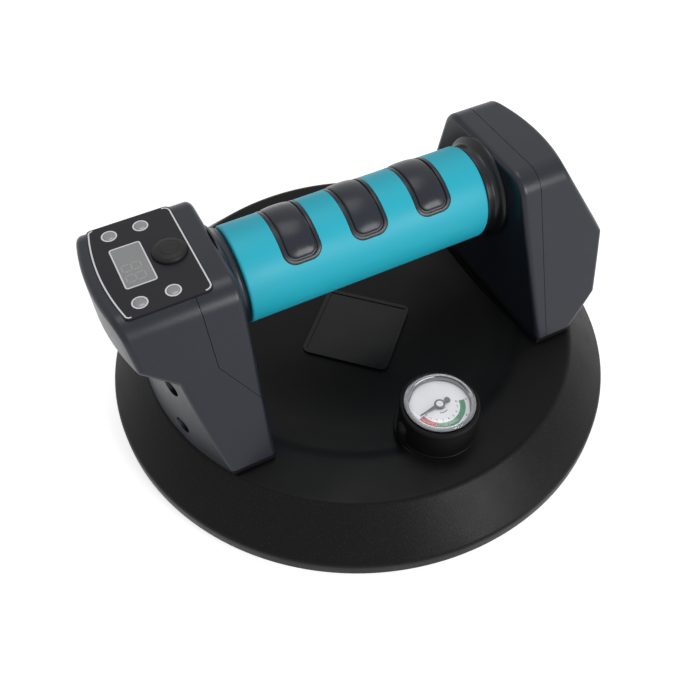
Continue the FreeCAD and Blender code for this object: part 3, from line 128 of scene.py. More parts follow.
@dataclass(frozen=True)
class Finish:
    """One surface finish, built as a node material.

    Attributes:
        name: Name of the material.
        colour: Linear base colour.
        roughness: Mean roughness.
        metallic: 1 for bare metal, 0 otherwise.
        variation: How far the colour wanders, as a share.
        grain: Kind of relief.
        grain_size: Size of one grain, in millimetres.
        grain_depth: Height of the relief, in millimetres.
        painted_glint: How much lighter the grain tips are painted, as a share of the colour; a
            painted glint that stands in for sparkle of light on the grain.
        coat: Strength of a clear coat.
        transmission: Share of light passing through.
        ior: Index of refraction.
        specular: Specular level.
    """

    name: str
    colour: Colour
    roughness: float = 0.5
    metallic: float = 0.0
    variation: float = 0.06
    grain: Grain = Grain.SPARK
    grain_size: float = 0.4
    grain_depth: float = 0.02
    painted_glint: float = 0.0
    coat: float = 0.0
    transmission: float = 0.0
    ior: float = 1.5
    specular: float = 0.5

    def build(self) -> bpy.types.Material:
        """Make the material, or return it if it is there already."""
        full_name = f"{self.name}_finish"
        known = bpy.data.materials.get(full_name)
        if known:
            return known
        material = bpy.data.materials.new(full_name)
        material.use_nodes = True
        tree = material.node_tree
        shader = tree.nodes["Principled BSDF"]
        shader.inputs["Metallic"].default_value = self.metallic
        shader.inputs["Coat Weight"].default_value = self.coat
        shader.inputs["Coat Roughness"].default_value = COAT_ROUGHNESS
        shader.inputs["Transmission Weight"].default_value = self.transmission
        shader.inputs["IOR"].default_value = self.ior
        shader.inputs["Specular IOR Level"].default_value = self.specular
        place = tree.nodes.new("ShaderNodeTexCoord").outputs["Object"]
        cloud = self.add_noise(tree, place, CLOUD_SCALE, CLOUD_DETAIL)
        waves = 1.0 / (self.grain_size * MM)
        grain = self.add_noise(tree, self.stretch(tree, place), waves, GRAIN_DETAIL)
        self.paint(tree, shader, cloud, grain)
        self.polish(tree, shader, cloud)
        self.emboss(tree, shader, grain)
        return material

    def add_noise(
        self, tree: bpy.types.NodeTree, place: bpy.types.NodeSocket, scale: float, detail: float
    ) -> bpy.types.NodeSocket:
        """Add a noise texture.

        Args:
            tree: Node tree of the material.
            place: Coordinates that feed the noise.
            scale: Waves per metre.
            detail: Number of finer layers.

        Returns:
            The noise value, around 0.5.
        """
        noise = tree.nodes.new("ShaderNodeTexNoise")
        noise.inputs["Scale"].default_value = scale
        noise.inputs["Detail"].default_value = detail
        tree.links.new(place, noise.inputs["Vector"])
        return noise.outputs["Fac"]

    def stretch(
        self, tree: bpy.types.NodeTree, place: bpy.types.NodeSocket
    ) -> bpy.types.NodeSocket:
        """Draw the grain out into strokes where the finish is brushed.

        Args:
            tree: Node tree of the material.
            place: Plain coordinates.

        Returns:
            The coordinates for the grain.
        """
        if self.grain is not Grain.BRUSHED:
            return place
        mapping = tree.nodes.new("ShaderNodeMapping")
        mapping.inputs["Scale"].default_value = BRUSH_STRETCH
        tree.links.new(place, mapping.inputs["Vector"])
        return mapping.outputs["Vector"]

    def paint(
        self,
        tree: bpy.types.NodeTree,
        shader: bpy.types.Node,
        cloud: bpy.types.NodeSocket,
        grain: bpy.types.NodeSocket,
    ) -> None:
        """Mix the base colour from slow clouds and painted glints, which are grain tips painted
        lighter.

        Args:
            tree: Node tree of the material.
            shader: Surface shader.
            cloud: Slow noise.
            grain: Fine noise.
        """
        mix = tree.nodes.new("ShaderNodeMix")
        mix.data_type = "RGBA"
        low = [c * (1 - self.variation) for c in self.colour]
        high = [min(1.0, c * (1 + self.variation)) for c in self.colour]
        mix.inputs["A"].default_value = (*low, 1)
        mix.inputs["B"].default_value = (*high, 1)
        tree.links.new(cloud, mix.inputs["Factor"])
        colour = mix.outputs["Result"]
        # Painted glints: the grain tips are painted lighter in the base colour and stand in for
        # sparkle of light on the grain
        if self.painted_glint > 0:
            lighter = tree.nodes.new("ShaderNodeMix")
            lighter.data_type = "RGBA"
            light = [min(1.0, c * (1 + self.painted_glint)) for c in self.colour]
            lighter.inputs["B"].default_value = (*light, 1)
            tree.links.new(colour, lighter.inputs["A"])
            tree.links.new(remapped(tree, grain, GLINT_TIP_RANGE), lighter.inputs["Factor"])
            colour = lighter.outputs["Result"]
        tree.links.new(colour, shader.inputs["Base Color"])

    def polish(
        self, tree: bpy.types.NodeTree, shader: bpy.types.Node, cloud: bpy.types.NodeSocket
    ) -> None:
        """Let the roughness wander a little around its mean.

        Args:
            tree: Node tree of the material.
            shader: Surface shader.
            cloud: Slow noise.
        """
        spread = min(ROUGHNESS_SPREAD, self.roughness * ROUGHNESS_SHARE)
        span = (self.roughness - spread, min(1.0, self.roughness + spread))
        tree.links.new(remapped(tree, cloud, CLOUD_RANGE, span), shader.inputs["Roughness"])

    def emboss(
        self, tree: bpy.types.NodeTree, shader: bpy.types.Node, grain: bpy.types.NodeSocket
    ) -> None:
        """Add the surface relief to the shader's normal.

        Args:
            tree: Node tree of the material.
            shader: Surface shader.
            grain: Fine noise.
        """
        if self.grain is Grain.SMOOTH:
            return
        bump = tree.nodes.new("ShaderNodeBump")
        bump.inputs["Strength"].default_value = RELIEF_STRENGTH
        bump.inputs["Distance"].default_value = self.grain_depth * MM
        tree.links.new(grain, bump.inputs["Height"])
        tree.links.new(bump.outputs["Normal"], shader.inputs["Normal"])


BASE_SATIN = Finish(
    "base_satin_black", linear(14, 14, 15), 0.4, grain_size=0.5, grain_depth=0.012, specular=0.09
)
# The grained cone's light grain tips are painted glints that stand in for its sparkle of light
BASE_GRAINED = Finish(
    "base_grained_black", linear(15, 15, 16), 0.4, grain_size=0.5, grain_depth=0.08, painted_glint=2.6,
    specular=0.11,
)
SEAL_RUBBER = Finish("seal_rubber", linear(18, 18, 19), 0.6, specular=0.15)
BOOT_RUBBER = Finish("boot_rubber", linear(10, 10, 10), 0.5, grain_depth=0.01, specular=0.12)
BADGE_GLOSS = Finish("badge_satin", linear(14, 15, 16), 0.28, grain_depth=0.006, specular=0.2)
# The housings' lighter grain tips are painted glints that stand in for sparkle of light
HOUSING_SLATE = Finish(
    "housing_slate", linear(27, 31, 40), 0.33, grain_size=0.45, grain_depth=0.03, painted_glint=0.5,
    specular=0.34,
)
PANEL_FILM = Finish(
    "panel_film", linear(27, 26, 31), 0.42, grain_size=0.3, grain_depth=0.006, specular=0.2
)
COLLAR_BLACK = Finish(
    "collar_black", linear(18, 20, 23), 0.33, grain_size=0.5, grain_depth=0.01, specular=0.3
)
TEAL_RUBBER = Finish(
    "teal_rubber", linear(35, 176, 198), 0.5, variation=0.05, grain_size=0.5, grain_depth=0.008,
    specular=0.35,
)
PAD_SLATE = Finish(
    "pad_slate", linear(34, 39, 47), 0.3, grain_size=0.5, grain_depth=0.01, specular=0.26
)
BUTTON_RUBBER = Finish(
    "button_rubber", linear(28, 28, 28), 0.5, grain_size=0.3, grain_depth=0.008, specular=0.22
)
LAMP_LENS = Finish("lamp_lens", linear(140, 140, 143), 0.25, grain_depth=0.01, coat=0.5)
DISPLAY_GLASS = Finish("display_glass", linear(134, 136, 137), 0.2, grain_depth=0.002, coat=0.4)
DIGIT_LIGHT = Finish("digit_light", linear(158, 160, 160), 0.3, grain_depth=0.002)
PRINT_WHITE = Finish("print_white", linear(226, 226, 228), 0.45, grain_depth=0.004)
CLEAR_LENS = Finish(
    "clear_lens", (1.0, 1.0, 1.0), 0.02, variation=0.0, grain=Grain.SMOOTH, transmission=1.0,
    ior=1.4,
)
STEEL = Finish("bright_steel", (0.6, 0.61, 0.63), 0.3, metallic=1.0, grain=Grain.BRUSHED)
DARK_STEEL = Finish("dark_steel", (0.12, 0.12, 0.125), 0.35, metallic=1.0)
BRASS = Finish("turned_brass", (0.65, 0.45, 0.18), 0.3, metallic=1.0, grain_depth=0.01)
DIAL_WHITE = Finish("dial_white", linear(238, 238, 242), 0.45, grain_depth=0.003)
DIAL_RED = Finish("dial_red", linear(190, 74, 88), 0.45, grain_depth=0.003)
DIAL_GREEN = Finish("dial_green", linear(62, 142, 104), 0.45, grain_depth=0.003)
DIAL_INK = Finish("dial_ink", linear(70, 70, 74), 0.45, grain_depth=0.003)
CASE_GREY = Finish("case_grey", linear(132, 132, 137), 0.3, grain_depth=0.004)
NEEDLE_GREY = Finish("needle_grey", linear(96, 96, 98), 0.35, grain_depth=0.004)
BOARD_GREEN = Finish("board_green", (0.02, 0.12, 0.05), 0.4)
CELL_BLUE = Finish("cell_blue", (0.02, 0.1, 0.35), 0.3)
MILKY = Finish("milky_silicone", (0.6, 0.6, 0.62), 0.5)
FOAM_GREY = Finish("foam_grey", (0.2, 0.2, 0.21), 0.8, grain_size=0.3, grain_depth=0.15)
INNER_PLASTIC = Finish("inner_plastic", (0.06, 0.06, 0.065), 0.5)

NODES_BY_FINISH: dict[Finish, tuple[str, ...]] = {
    BASE_SATIN: ("base_plate",),
    SEAL_RUBBER: ("seal_ring", "left_foot_gasket", "right_foot_gasket", "diaphragm"),
    BADGE_GLOSS: ("badge_plate",),
    FOAM_GREY: ("port_filter",),
    HOUSING_SLATE: (
        "left_inner_shell", "left_outer_shell", "right_inner_shell", "right_outer_shell",
        "left_collar",
    ),
    STEEL: (
        "left_frame", "right_frame", "charging_socket", "grip_core", "pump_motor", "pump_crank",
        "pump_bracket",
    ),
    DARK_STEEL: (
        "base_screws", "left_shell_screws", "right_shell_screws", "board_screws", "button_switch",
    ),
    PANEL_FILM: ("control_panel",),
    DISPLAY_GLASS: ("lcd_window", "lcd_module"),
    LAMP_LENS: ("indicator_lamps",),
    BUTTON_RUBBER: ("power_button",),
    MILKY: ("button_dome", "pump_rod", "vacuum_hose"),
    BOARD_GREEN: ("control_board",),
    CELL_BLUE: ("battery_cells",),
    INNER_PLASTIC: ("battery_holder", "pump_body", "pump_cover", "valve_head", "port_elbow"),
    PAD_SLATE: ("grip_pad_left", "grip_pad_middle", "grip_pad_right"),
    TEAL_RUBBER: ("grip_sleeve",),
    COLLAR_BLACK: ("right_collar",),
    BOOT_RUBBER: ("gauge_boot",),
    CASE_GREY: ("gauge_case",),
    DIAL_WHITE: ("gauge_dial",),
    CLEAR_LENS: ("gauge_lens",),
    BRASS: ("gauge_stem", "gauge_nut", "bourdon_tube"),
    NEEDLE_GREY: ("gauge_needle",),
}


def dress_nodes() -> None:
    """Give every carried-over node its finish."""
    for finish, names in NODES_BY_FINISH.items():
        for name in names:
            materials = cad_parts[name].data.materials
            materials.clear()
            materials.append(finish.build())
        log.info("%s: %d nodes dressed", finish.name, len(names))


# ---------------------------------------------------------------- mesh tools


def soften(points: Sequence[Flat], radii: dict[int, float], steps: int = 6) -> list[Flat]:
    """Round chosen corners of a flat line.

    Args:
        points: Corners of the line, in order.
        radii: How far the rounding reaches along each side, by corner number.
        steps: Pieces in each rounding.

    Returns:
        The line with its corners rounded.
    """
    line: list[Flat] = []
    count = len(points)
    for index, point in enumerate(points):
        reach = radii.get(index, 0.0)
        if not reach:
            line.append(point)
            continue
        corner = Vector(point)
        ends = []
        for other in (points[index - 1], points[(index + 1) % count]):
            side = Vector(other) - corner
            ends.append(corner + side.normalized() * min(reach, side.length * 0.49))
        for step in range(steps + 1):
            share = step / steps
            spot = ends[0].lerp(corner, share).lerp(corner.lerp(ends[1], share), share)
            line.append((spot.x, spot.y))
    return line


def arc(centre: Flat, radius: float, start: float, end: float, steps: int) -> list[Flat]:
    """Points along a flat arc.

    Args:
        centre: Centre of the arc.
        radius: Its radius.
        start: First angle, in degrees.
        end: Last angle, in degrees.
        steps: Number of pieces.

    Returns:
        The points, both ends included.
    """
    turns = [math.radians(start + (end - start) * i / steps) for i in range(steps + 1)]
    return [(centre[0] + radius * math.cos(t), centre[1] + radius * math.sin(t)) for t in turns]


def skin(rings: Sequence[Sequence[Place]], capped: bool = True) -> bmesh.types.BMesh:
    """Stretch a skin over rings that hold equally many points.

    Args:
        rings: Closed rings, from one end of the form to the other.
        capped: Whether the first and the last ring are filled.

    Returns:
        The mesh, in millimetres.
    """
    shape = bmesh.new()
    rows = [[shape.verts.new(point) for point in ring] for ring in rings]
    for lower, upper in zip(rows, rows[1:]):
        for i in range(len(lower)):
            j = (i + 1) % len(lower)
            shape.faces.new((lower[i], lower[j], upper[j], upper[i]))
    if capped:
        shape.faces.new(rows[0])
        shape.faces.new(rows[-1])
    return shape


def lathe(profile: Sequence[Flat], steps: int = 96, closed: bool = False) -> bmesh.types.BMesh:
    """Turn a profile about the upright axis.

    Args:
        profile: Points of (radius, height).
        steps: Number of facets round the axis.
        closed: Whether the last point joins the first.

    Returns:
        The turned mesh, in millimetres.
    """
    turns = [2 * math.pi * i / steps for i in range(steps)]
    line = list(profile) + ([profile[0]] if closed else [])
    rings = [[(r * math.cos(t), r * math.sin(t), z) for t in turns] for r, z in line]
    shape = skin(rings, capped=False)
    bmesh.ops.remove_doubles(shape, verts=shape.verts, dist=WELD)
    return shape


def plate(
    outline: Sequence[Flat], low: float, high: float, holes: Sequence[Sequence[Flat]] = ()
) -> bmesh.types.BMesh:
    """Cut a flat plate with optional holes.

    Args:
        outline: Corners of the plate.
        low: Height of its underside.
        high: Height of its top.
        holes: Outlines of the holes.

    Returns:
        The plate, in millimetres.
    """
    shape = bmesh.new()
    edges = []
    for loop in (outline, *holes):
        verts = [shape.verts.new((x, y, low)) for x, y in loop]
        edges += [shape.edges.new((verts[i - 1], verts[i])) for i in range(len(verts))]
    bmesh.ops.triangle_fill(shape, use_beauty=True, edges=edges)
    grown = bmesh.ops.extrude_face_region(shape, geom=list(shape.faces), use_keep_orig=True)
    tops = [item for item in grown["geom"] if isinstance(item, bmesh.types.BMVert)]
    for vert in tops:
        vert.co.z = high
    return shape


def ribbon(
    path: Sequence[Flat], width: float, low: float, high: float, closed: bool = False
) -> bmesh.types.BMesh:
    """Lay a thin raised line along a flat path.

    Args:
        path: Points of its middle.
        width: Width of the line.
        low: Height of its underside.
        high: Height of its top.
        closed: Whether the line runs back into its start.

    Returns:
        The line, in millimetres.
    """
    count = len(path)
    rings: list[list[Place]] = []
    for i, point in enumerate(path):
        before = path[i - 1] if closed or i else path[i]
        after = path[(i + 1) % count] if closed or i < count - 1 else path[i]
        along = Vector(after) - Vector(before)
        across = Vector((-along.y, along.x)).normalized() * width / 2
        left, right = Vector(point) + across, Vector(point) - across
        rings.append([(left.x, left.y, low), (left.x, left.y, high),
                      (right.x, right.y, high), (right.x, right.y, low)])
    if closed:
        rings.append(rings[0])
    shape = skin(rings, capped=not closed)
    bmesh.ops.remove_doubles(shape, verts=shape.verts, dist=WELD)
    return shape


def merged(shapes: Sequence[bmesh.types.BMesh]) -> bmesh.types.BMesh:
    """Put several meshes into one.

    Args:
        shapes: The meshes, which are used up.

    Returns:
        One mesh that holds them all.
    """
    whole = bmesh.new()
    for shape in shapes:
        bmesh.ops.recalc_face_normals(shape, faces=shape.faces)
        mesh = bpy.data.meshes.new("loose")
        shape.to_mesh(mesh)
        shape.free()
        whole.from_mesh(mesh)
        bpy.data.meshes.remove(mesh)
    return whole


def moved(shape: bmesh.types.BMesh, matrix: Matrix) -> bmesh.types.BMesh:
    """Carry a mesh to its place.

    Args:
        shape: The mesh.
        matrix: Turn and shift, in millimetres.

    Returns:
        The same mesh.
    """
    shape.transform(matrix)
    return shape


def add_piece(
    name: str,
    shape: bmesh.types.BMesh,
    finish: Finish,
    body: str = "lifter",
    replaces: Sequence[str] = (),
    second: tuple[Finish, Callable[[Vector, Vector], bool]] | None = None,
) -> bpy.types.Object:
    """Turn a mesh into a named piece of the lifter.

    Args:
        name: Name of the piece.
        shape: Its mesh in millimetres, which is used up.
        finish: Its finish.
        body: The moving body that carries it.
        replaces: Solids that it stands for.
        second: A second finish, and the test on a face's middle and direction that picks it.

    Returns:
        The object.
    """
    bmesh.ops.recalc_face_normals(shape, faces=shape.faces)
    if second:
        for face in shape.faces:
            face.material_index = int(second[1](face.calc_center_median(), face.normal))
    shape.transform(Matrix.Scale(MM, 4))
    mesh = bpy.data.meshes.new(name)
    shape.to_mesh(mesh)
    shape.free()
    mesh.shade_smooth()
    mesh.set_sharp_from_angle(angle=SMOOTH_ANGLE)
    mesh.materials.append(finish.build())
    if second:
        mesh.materials.append(second[0].build())
    piece = bpy.data.objects.new(name, mesh)
    bpy.context.scene.collection.objects.link(piece)
    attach(piece, body)
    if replaces:
        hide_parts(*replaces)
    log.info("%s: %d faces", name, len(mesh.polygons))
    return piece


# ---------------------------------------------------------------- base

SHELF_TOP = 24.0
GAUGE_MIDDLE: Flat = (2.0, -60.5)


@dataclass(frozen=True)
class Base:
    """Dished round base with its ribs and seats.

    Attributes:
        rim: Radius of the rim.
        shelf: Radius at which the flat shelf turns into the outer slope.
        shelf_top: Height of the shelf.
        shelf_near: Radius at which the bowl's profile joins the shelf.
        cone_foot: Height at which the outer slope meets the rim.
        foot: Height of the rim's underside.
        thickness: Thickness of the skin.
        groove: Inner and outer radius of the seal's groove.
        groove_roof: Height of the groove's roof.
        chamber: Radius of the vacuum chamber.
        chamber_foot: Height of the foot of the chamber's wall.
        dish: Corners of the bowl's profile, as radius and height.
        rib_count: Number of ribs underneath.
        rib_half: Half thickness of a rib.
        rib_edge: Outline of a rib, as distance from the axis and height.
        seat_near: Inner edge of the housings' seats.
        seat_far: Outer edge of the housings' seats.
        seat_half: Half width of the housings' seats.
        seat_depth: How far the housings' seats reach below the shelf.
        gauge: Middle of the gauge.
        gauge_seat: Radius of the gauge's seat.
    """

    rim: float = 101.5
    shelf: float = 85.7
    shelf_top: float = SHELF_TOP
    shelf_near: float = 70.0
    cone_foot: float = 8.5
    foot: float = 3.0
    thickness: float = 3.5
    groove: Flat = (90.5, 99.2)
    groove_roof: float = 8.0
    chamber: float = 88.0
    chamber_foot: float = 4.5
    dish: tuple[Flat, ...] = (
        (0.0, 16.0), (33.0, 16.0), (47.0, 17.9), (60.0, 21.9), (66.0, 24.0), (80.0, 24.0)
    )
    rib_count: int = 12
    rib_half: float = 1.1
    rib_edge: tuple[Flat, ...] = (
        (11.0, 9.0), (11.0, 14.2), (33.0, 14.2), (47.0, 16.0), (60.0, 20.0), (66.0, 22.2),
        (84.5, 22.2), (88.5, 17.0), (88.5, 9.0),
    )
    seat_near: float = 55.2
    seat_far: float = 67.0
    seat_half: float = 46.3
    seat_depth: float = 4.4
    gauge: Flat = GAUGE_MIDDLE
    gauge_seat: float = 16.2

    def bowl(self, drop: float = 0.0) -> list[Flat]:
        """Profile of the dish from its middle to the shelf.

        Args:
            drop: How far below the top skin it runs.

        Returns:
            Points of (radius, height).
        """
        line = soften(self.dish, {1: 12.0, 2: 6.4, 3: 2.9, 4: 2.9}, steps=8)
        return [(radius, height - drop) for radius, height in line[:-2]]

    def build(self) -> None:
        """Build and dress the base."""
        groove_near, groove_far = self.groove
        roof = self.shelf_top - self.thickness
        outer = soften(
            [(self.shelf_near, self.shelf_top), (self.shelf, self.shelf_top),
             (self.rim, self.cone_foot), (self.rim, self.foot), (groove_far, self.foot),
             (groove_far, self.groove_roof), (groove_near, self.groove_roof),
             (groove_near, self.chamber_foot), (self.chamber, self.chamber_foot),
             (self.chamber, 17.0), (84.5, roof), (self.shelf_near, roof)],
            {1: 1.6, 2: 1.3, 3: 0.5, 4: 0.5, 5: 0.5, 6: 0.5, 7: 0.4, 8: 0.4, 9: 1.0, 10: 1.0},
        )
        under = list(reversed(self.bowl(self.thickness)))
        shell = lathe(self.bowl() + outer + under, steps=192)
        add_piece(
            "base_shell", shell, BASE_SATIN, replaces=("base_plate",),
            second=(BASE_GRAINED, lambda middle, facing: (
                math.hypot(middle.x, middle.y) > self.shelf - 0.3 and facing.z > 0.1
            )),
        )
        self.build_ribs()
        self.build_seats()

    def build_ribs(self) -> None:
        """Build the ribs and the hub under the skin."""
        edge = soften(self.rib_edge, {0: 1.5, 8: 1.0}, steps=3)
        shapes = [lathe(soften([(0, 9.0), (12.0, 9.0), (12.0, 14.6), (0, 14.6)], {1: 0.8}, 3), 48)]
        for index in range(self.rib_count):
            rib = plate(edge, -self.rib_half, self.rib_half)
            turn = Matrix.Rotation(2 * math.pi * (index + 0.5) / self.rib_count, 4, "Z")
            shapes.append(moved(rib, turn @ Matrix.Rotation(math.pi / 2, 4, "X")))
        add_piece("base_ribs", merged(shapes), BASE_SATIN)

    def build_seats(self) -> None:
        """Build the seats of the housings and of the gauge."""
        shapes = []
        for side in (-1, 1):
            near, far = side * self.seat_near, side * self.seat_far
            corners = [(near, -self.seat_half), (far, -self.seat_half),
                       (far, self.seat_half), (near, self.seat_half)]
            low, high = self.shelf_top - self.seat_depth, self.shelf_top - 0.01
            shapes.append(plate(soften(corners, {0: 2.0, 3: 2.0}), low, high))
        add_piece("housing_seats", merged(shapes), BASE_SATIN)
        top = self.shelf_top + 0.02
        ring = soften([(0, 12.0), (9.0, 12.0), (9.0, 17.0), (self.gauge_seat, 17.0),
                       (self.gauge_seat, top), (0, top)], {1: 0.6, 4: 0.7})
        seat = moved(lathe(ring), Matrix.Translation((*self.gauge, 0)))
        add_piece("gauge_seat", seat, BASE_SATIN)


# ---------------------------------------------------------------- housings


@dataclass(frozen=True)
class ShellScrews:
    """Pan-head screws sunk into the back of a housing.

    Attributes:
        side: -1 for the left housing, 1 for the right one.
        seat: Distance of the head's underside from the middle.
        tip: Distance of the shank's end from the middle.
        row: Distance of the screws from the grip's axis plane.
        heights: Heights of the screws.
        head: Radius of the head.
        head_height: Height of the head.
        shank: Radius of the shank.
        slot_half: Half width of one arm of the cross recess.
        slot_reach: Reach of one arm.
        slot_depth: Depth of the cross recess.
        first_turn: How far the first screw is turned about its axis, in radians.
        next_turn: How much further each following screw is turned.
    """

    side: int
    seat: float
    tip: float
    row: float = 25.7
    heights: Flat = (36.0, 57.6)
    head: float = 2.8
    head_height: float = 2.4
    shank: float = 1.5
    slot_half: float = 0.32
    slot_reach: float = 1.6
    slot_depth: float = 1.1
    first_turn: float = 0.4
    next_turn: float = 0.7

    def cross(self, angle: float) -> float:
        """Radius of the cross recess at an angle."""
        fold = abs((angle + math.pi / 4) % (math.pi / 2) - math.pi / 4)
        if math.tan(fold) < self.slot_half / self.slot_reach:
            return self.slot_reach / math.cos(fold)
        return self.slot_half / math.sin(fold)

    def screw(self) -> bmesh.types.BMesh:
        """Build one screw that stands on its tip, with the head's underside at height 0.

        Returns:
            The screw.
        """
        corner = math.atan(self.slot_half / self.slot_reach)
        right_angle = math.pi / 2
        shares = (-corner, 0.0, corner, 0.35, 0.55, math.pi / 4, right_angle - 0.55,
                  right_angle - 0.35)
        turns = sorted(quarter * right_angle + share for quarter in range(4) for share in shares)
        length = abs(self.tip - self.seat)
        top = self.head_height

        def ring(radius: float, height: float) -> list[Place]:
            """Round ring."""
            return [(radius * math.cos(t), radius * math.sin(t), height) for t in turns]

        def star(share: float, height: float) -> list[Place]:
            """Ring that follows the cross recess."""
            return [(share * self.cross(t) * math.cos(t), share * self.cross(t) * math.sin(t),
                     height) for t in turns]

        body = [(self.shank * 0.6, -length), (self.shank, -length + 1.0), (self.shank, 0),
                (self.head - 0.15, 0), (self.head, 0.15), (self.head, top * 0.45),
                (self.head * 0.93, top * 0.75), (self.head * 0.78, top * 0.93)]
        rings = [ring(radius, height) for radius, height in body]
        rings += [star(1.0, top), star(0.8, top - self.slot_depth)]
        return skin(rings)

    def build(self, name: str, replaces: str) -> None:
        """Build the four screws as one piece.

        Args:
            name: Name of the piece.
            replaces: The solid it stands for.
        """
        turn = Matrix.Rotation(self.side * math.pi / 2, 4, "Y")
        shapes = []
        for index, (y, z) in enumerate((y, z) for y in (-self.row, self.row) for z in self.heights):
            spin = Matrix.Rotation(self.first_turn + self.next_turn * index, 4, "Z")
            place = Matrix.Translation((self.side * self.seat, y, z))
            shapes.append(moved(self.screw(), place @ turn @ spin))
        add_piece(name, merged(shapes), DARK_STEEL, replaces=(replaces,))


# ---------------------------------------------------------------- control head


@dataclass(frozen=True)
class ControlHead:
    """Printed film, lamps, display and button on top of the left housing.

    Attributes:
        top: Height of the housing's top face.
        film_depth: How far film and window reach below that face.
        film_rise: How far the film stands above that face.
        print_bed: How far the print reaches into the film.
        print_rise: How far the print stands above the film.
        line_width: Width of the printed lines.
        line_ends: Rounded ends of the straight line, in front and at the rear, as distances
            outwards from the line and heights along it.
        bow_ends: Rounded ends of the curved line, in front and at the rear.
        inner: Straight edge of the film, nearest the grip.
        outer: Radius of the film's curved edge about the base's axis.
        half: Half width of the film.
        corner: Rounding of the film's corners.
        lamps: Middles of the indicator lamps.
        lamp: Radius of a lamp.
        lamp_foot: Height of the foot of a lamp.
        lamp_ring: Inner and outer radius of the white ring round a lamp.
        display: Left, right, front and rear edges of the display.
        display_corner: Rounding of the display's corners.
        display_line: Width of the white frame.
        digits: Middles of the two digits.
        digit_half: Half height and half width of a digit.
        bar_half: Half thickness of a digit's bar.
        bar_gap: How much shorter a bar is than its side of the digit.
        button: Middle of the button.
        button_radius: Radius of the button.
        button_gap: Gap between the button and the film.
        crown: Height of the button's crown.
    """

    top: float = 91.0
    film_depth: float = 0.6
    film_rise: float = 0.12
    print_bed: float = 0.02
    print_rise: float = 0.03
    line_width: float = 0.5
    line_ends: tuple[tuple[Flat, ...], tuple[Flat, ...]] = (
        ((2.2, 21.3), (1.2, 21.15), (0.5, 20.6), (0.1, 19.8), (0.0, 19.0)),
        ((0.0, -19.1), (0.1, -20.0), (0.6, -20.8), (1.4, -21.3), (2.3, -21.4)),
    )
    bow_ends: tuple[tuple[Flat, ...], tuple[Flat, ...]] = (
        ((-86.6, 21.3), (-87.4, 21.1), (-88.0, 20.6)),
        ((-88.0, -20.7), (-87.4, -21.3), (-86.5, -21.4)),
    )
    inner: float = 59.9
    outer: float = 91.0
    half: float = 21.9
    corner: float = 2.4
    lamps: tuple[Flat, ...] = ((-71.6, 16.4), (-82.3, 16.3), (-71.6, -16.7), (-82.4, -16.8))
    lamp: float = 2.05
    lamp_foot: float = 81.6
    lamp_ring: Flat = (2.1, 2.62)
    display: tuple[float, float, float, float] = (-84.4, -74.3, -9.6, 9.5)
    display_corner: float = 0.9
    display_line: float = 0.46
    digits: tuple[Flat, ...] = ((-80.0, -5.6), (-80.0, -0.7))
    digit_half: Flat = (3.1, 1.55)
    bar_half: float = 0.24
    bar_gap: float = 0.22
    button: Flat = (-67.0, 0.0)
    button_radius: float = 5.75
    button_gap: float = 0.2
    crown: float = 93.3

    def edge(self, inset: float) -> list[Flat]:
        """Outline of the film, drawn in by an inset.

        Args:
            inset: Distance from the film's edge.

        Returns:
            The outline's points.
        """
        half = self.half - inset
        radius = self.outer - inset
        reach = math.degrees(math.asin(half / radius))
        curve = arc((0.0, 0.0), radius, 180 + reach, 180 - reach, 24)
        near = -self.inner - inset
        corners = [(near, half), (near, -half)] + curve
        return soften(corners, {0: self.corner, 1: self.corner, 2: 1.6, 26: 1.6})

    def build(self) -> None:
        """Build and dress the control head."""
        film_top = self.top + self.film_rise
        hole = arc(self.button, self.button_radius + self.button_gap, 0, 360, 64)[:-1]
        film = plate(self.edge(0.0), self.top - self.film_depth, film_top, holes=[hole])
        add_piece("panel_film", film, PANEL_FILM, replaces=("control_panel",))
        self.build_print(film_top)
        self.build_lamps(film_top)
        self.build_display(film_top)
        self.build_button()

    def build_print(self, film_top: float) -> None:
        """Lay the white lines and lamp rings on the film.

        Args:
            film_top: Height of the film's top.
        """
        low, high = film_top - self.print_bed, film_top + self.print_rise
        near = -self.inner - 0.55
        straight = [(near - out, y) for end in self.line_ends for out, y in end]
        radius = self.outer - 0.6
        reach = math.degrees(math.asin(20.0 / radius))
        front, rear = self.bow_ends
        bow = [*front, *arc((0.0, 0.0), radius, 180 - reach, 180 + reach, 24), *rear]
        shapes = [ribbon(line, self.line_width, low, high) for line in (straight, bow)]
        inner, outer = self.lamp_ring
        for middle in self.lamps:
            circle = arc(middle, (inner + outer) / 2, 0, 360, 48)[:-1]
            shapes.append(ribbon(circle, outer - inner, low, high, closed=True))
        add_piece("panel_print", merged(shapes), PRINT_WHITE)

    def build_lamps(self, film_top: float) -> None:
        """Build the four indicator lamps with their domed tips.

        Args:
            film_top: Height of the film's top.
        """
        foot = self.lamp_foot
        profile = soften(
            [(0, foot), (2.0, foot), (2.0, foot + 1.4), (1.8, foot + 1.4), (1.8, 89.0),
             (self.lamp, 89.2), (self.lamp, film_top + 0.02), (1.4, film_top + 0.2),
             (0.7, film_top + 0.28), (0, film_top + 0.3)],
            {1: 0.3, 6: 0.2, 7: 0.3},
        )
        shapes = [moved(lathe(profile, 48), Matrix.Translation((x, y, 0))) for x, y in self.lamps]
        add_piece(
            "lamp_lenses", merged(shapes), LAMP_LENS, replaces=("indicator_lamps",),
        )

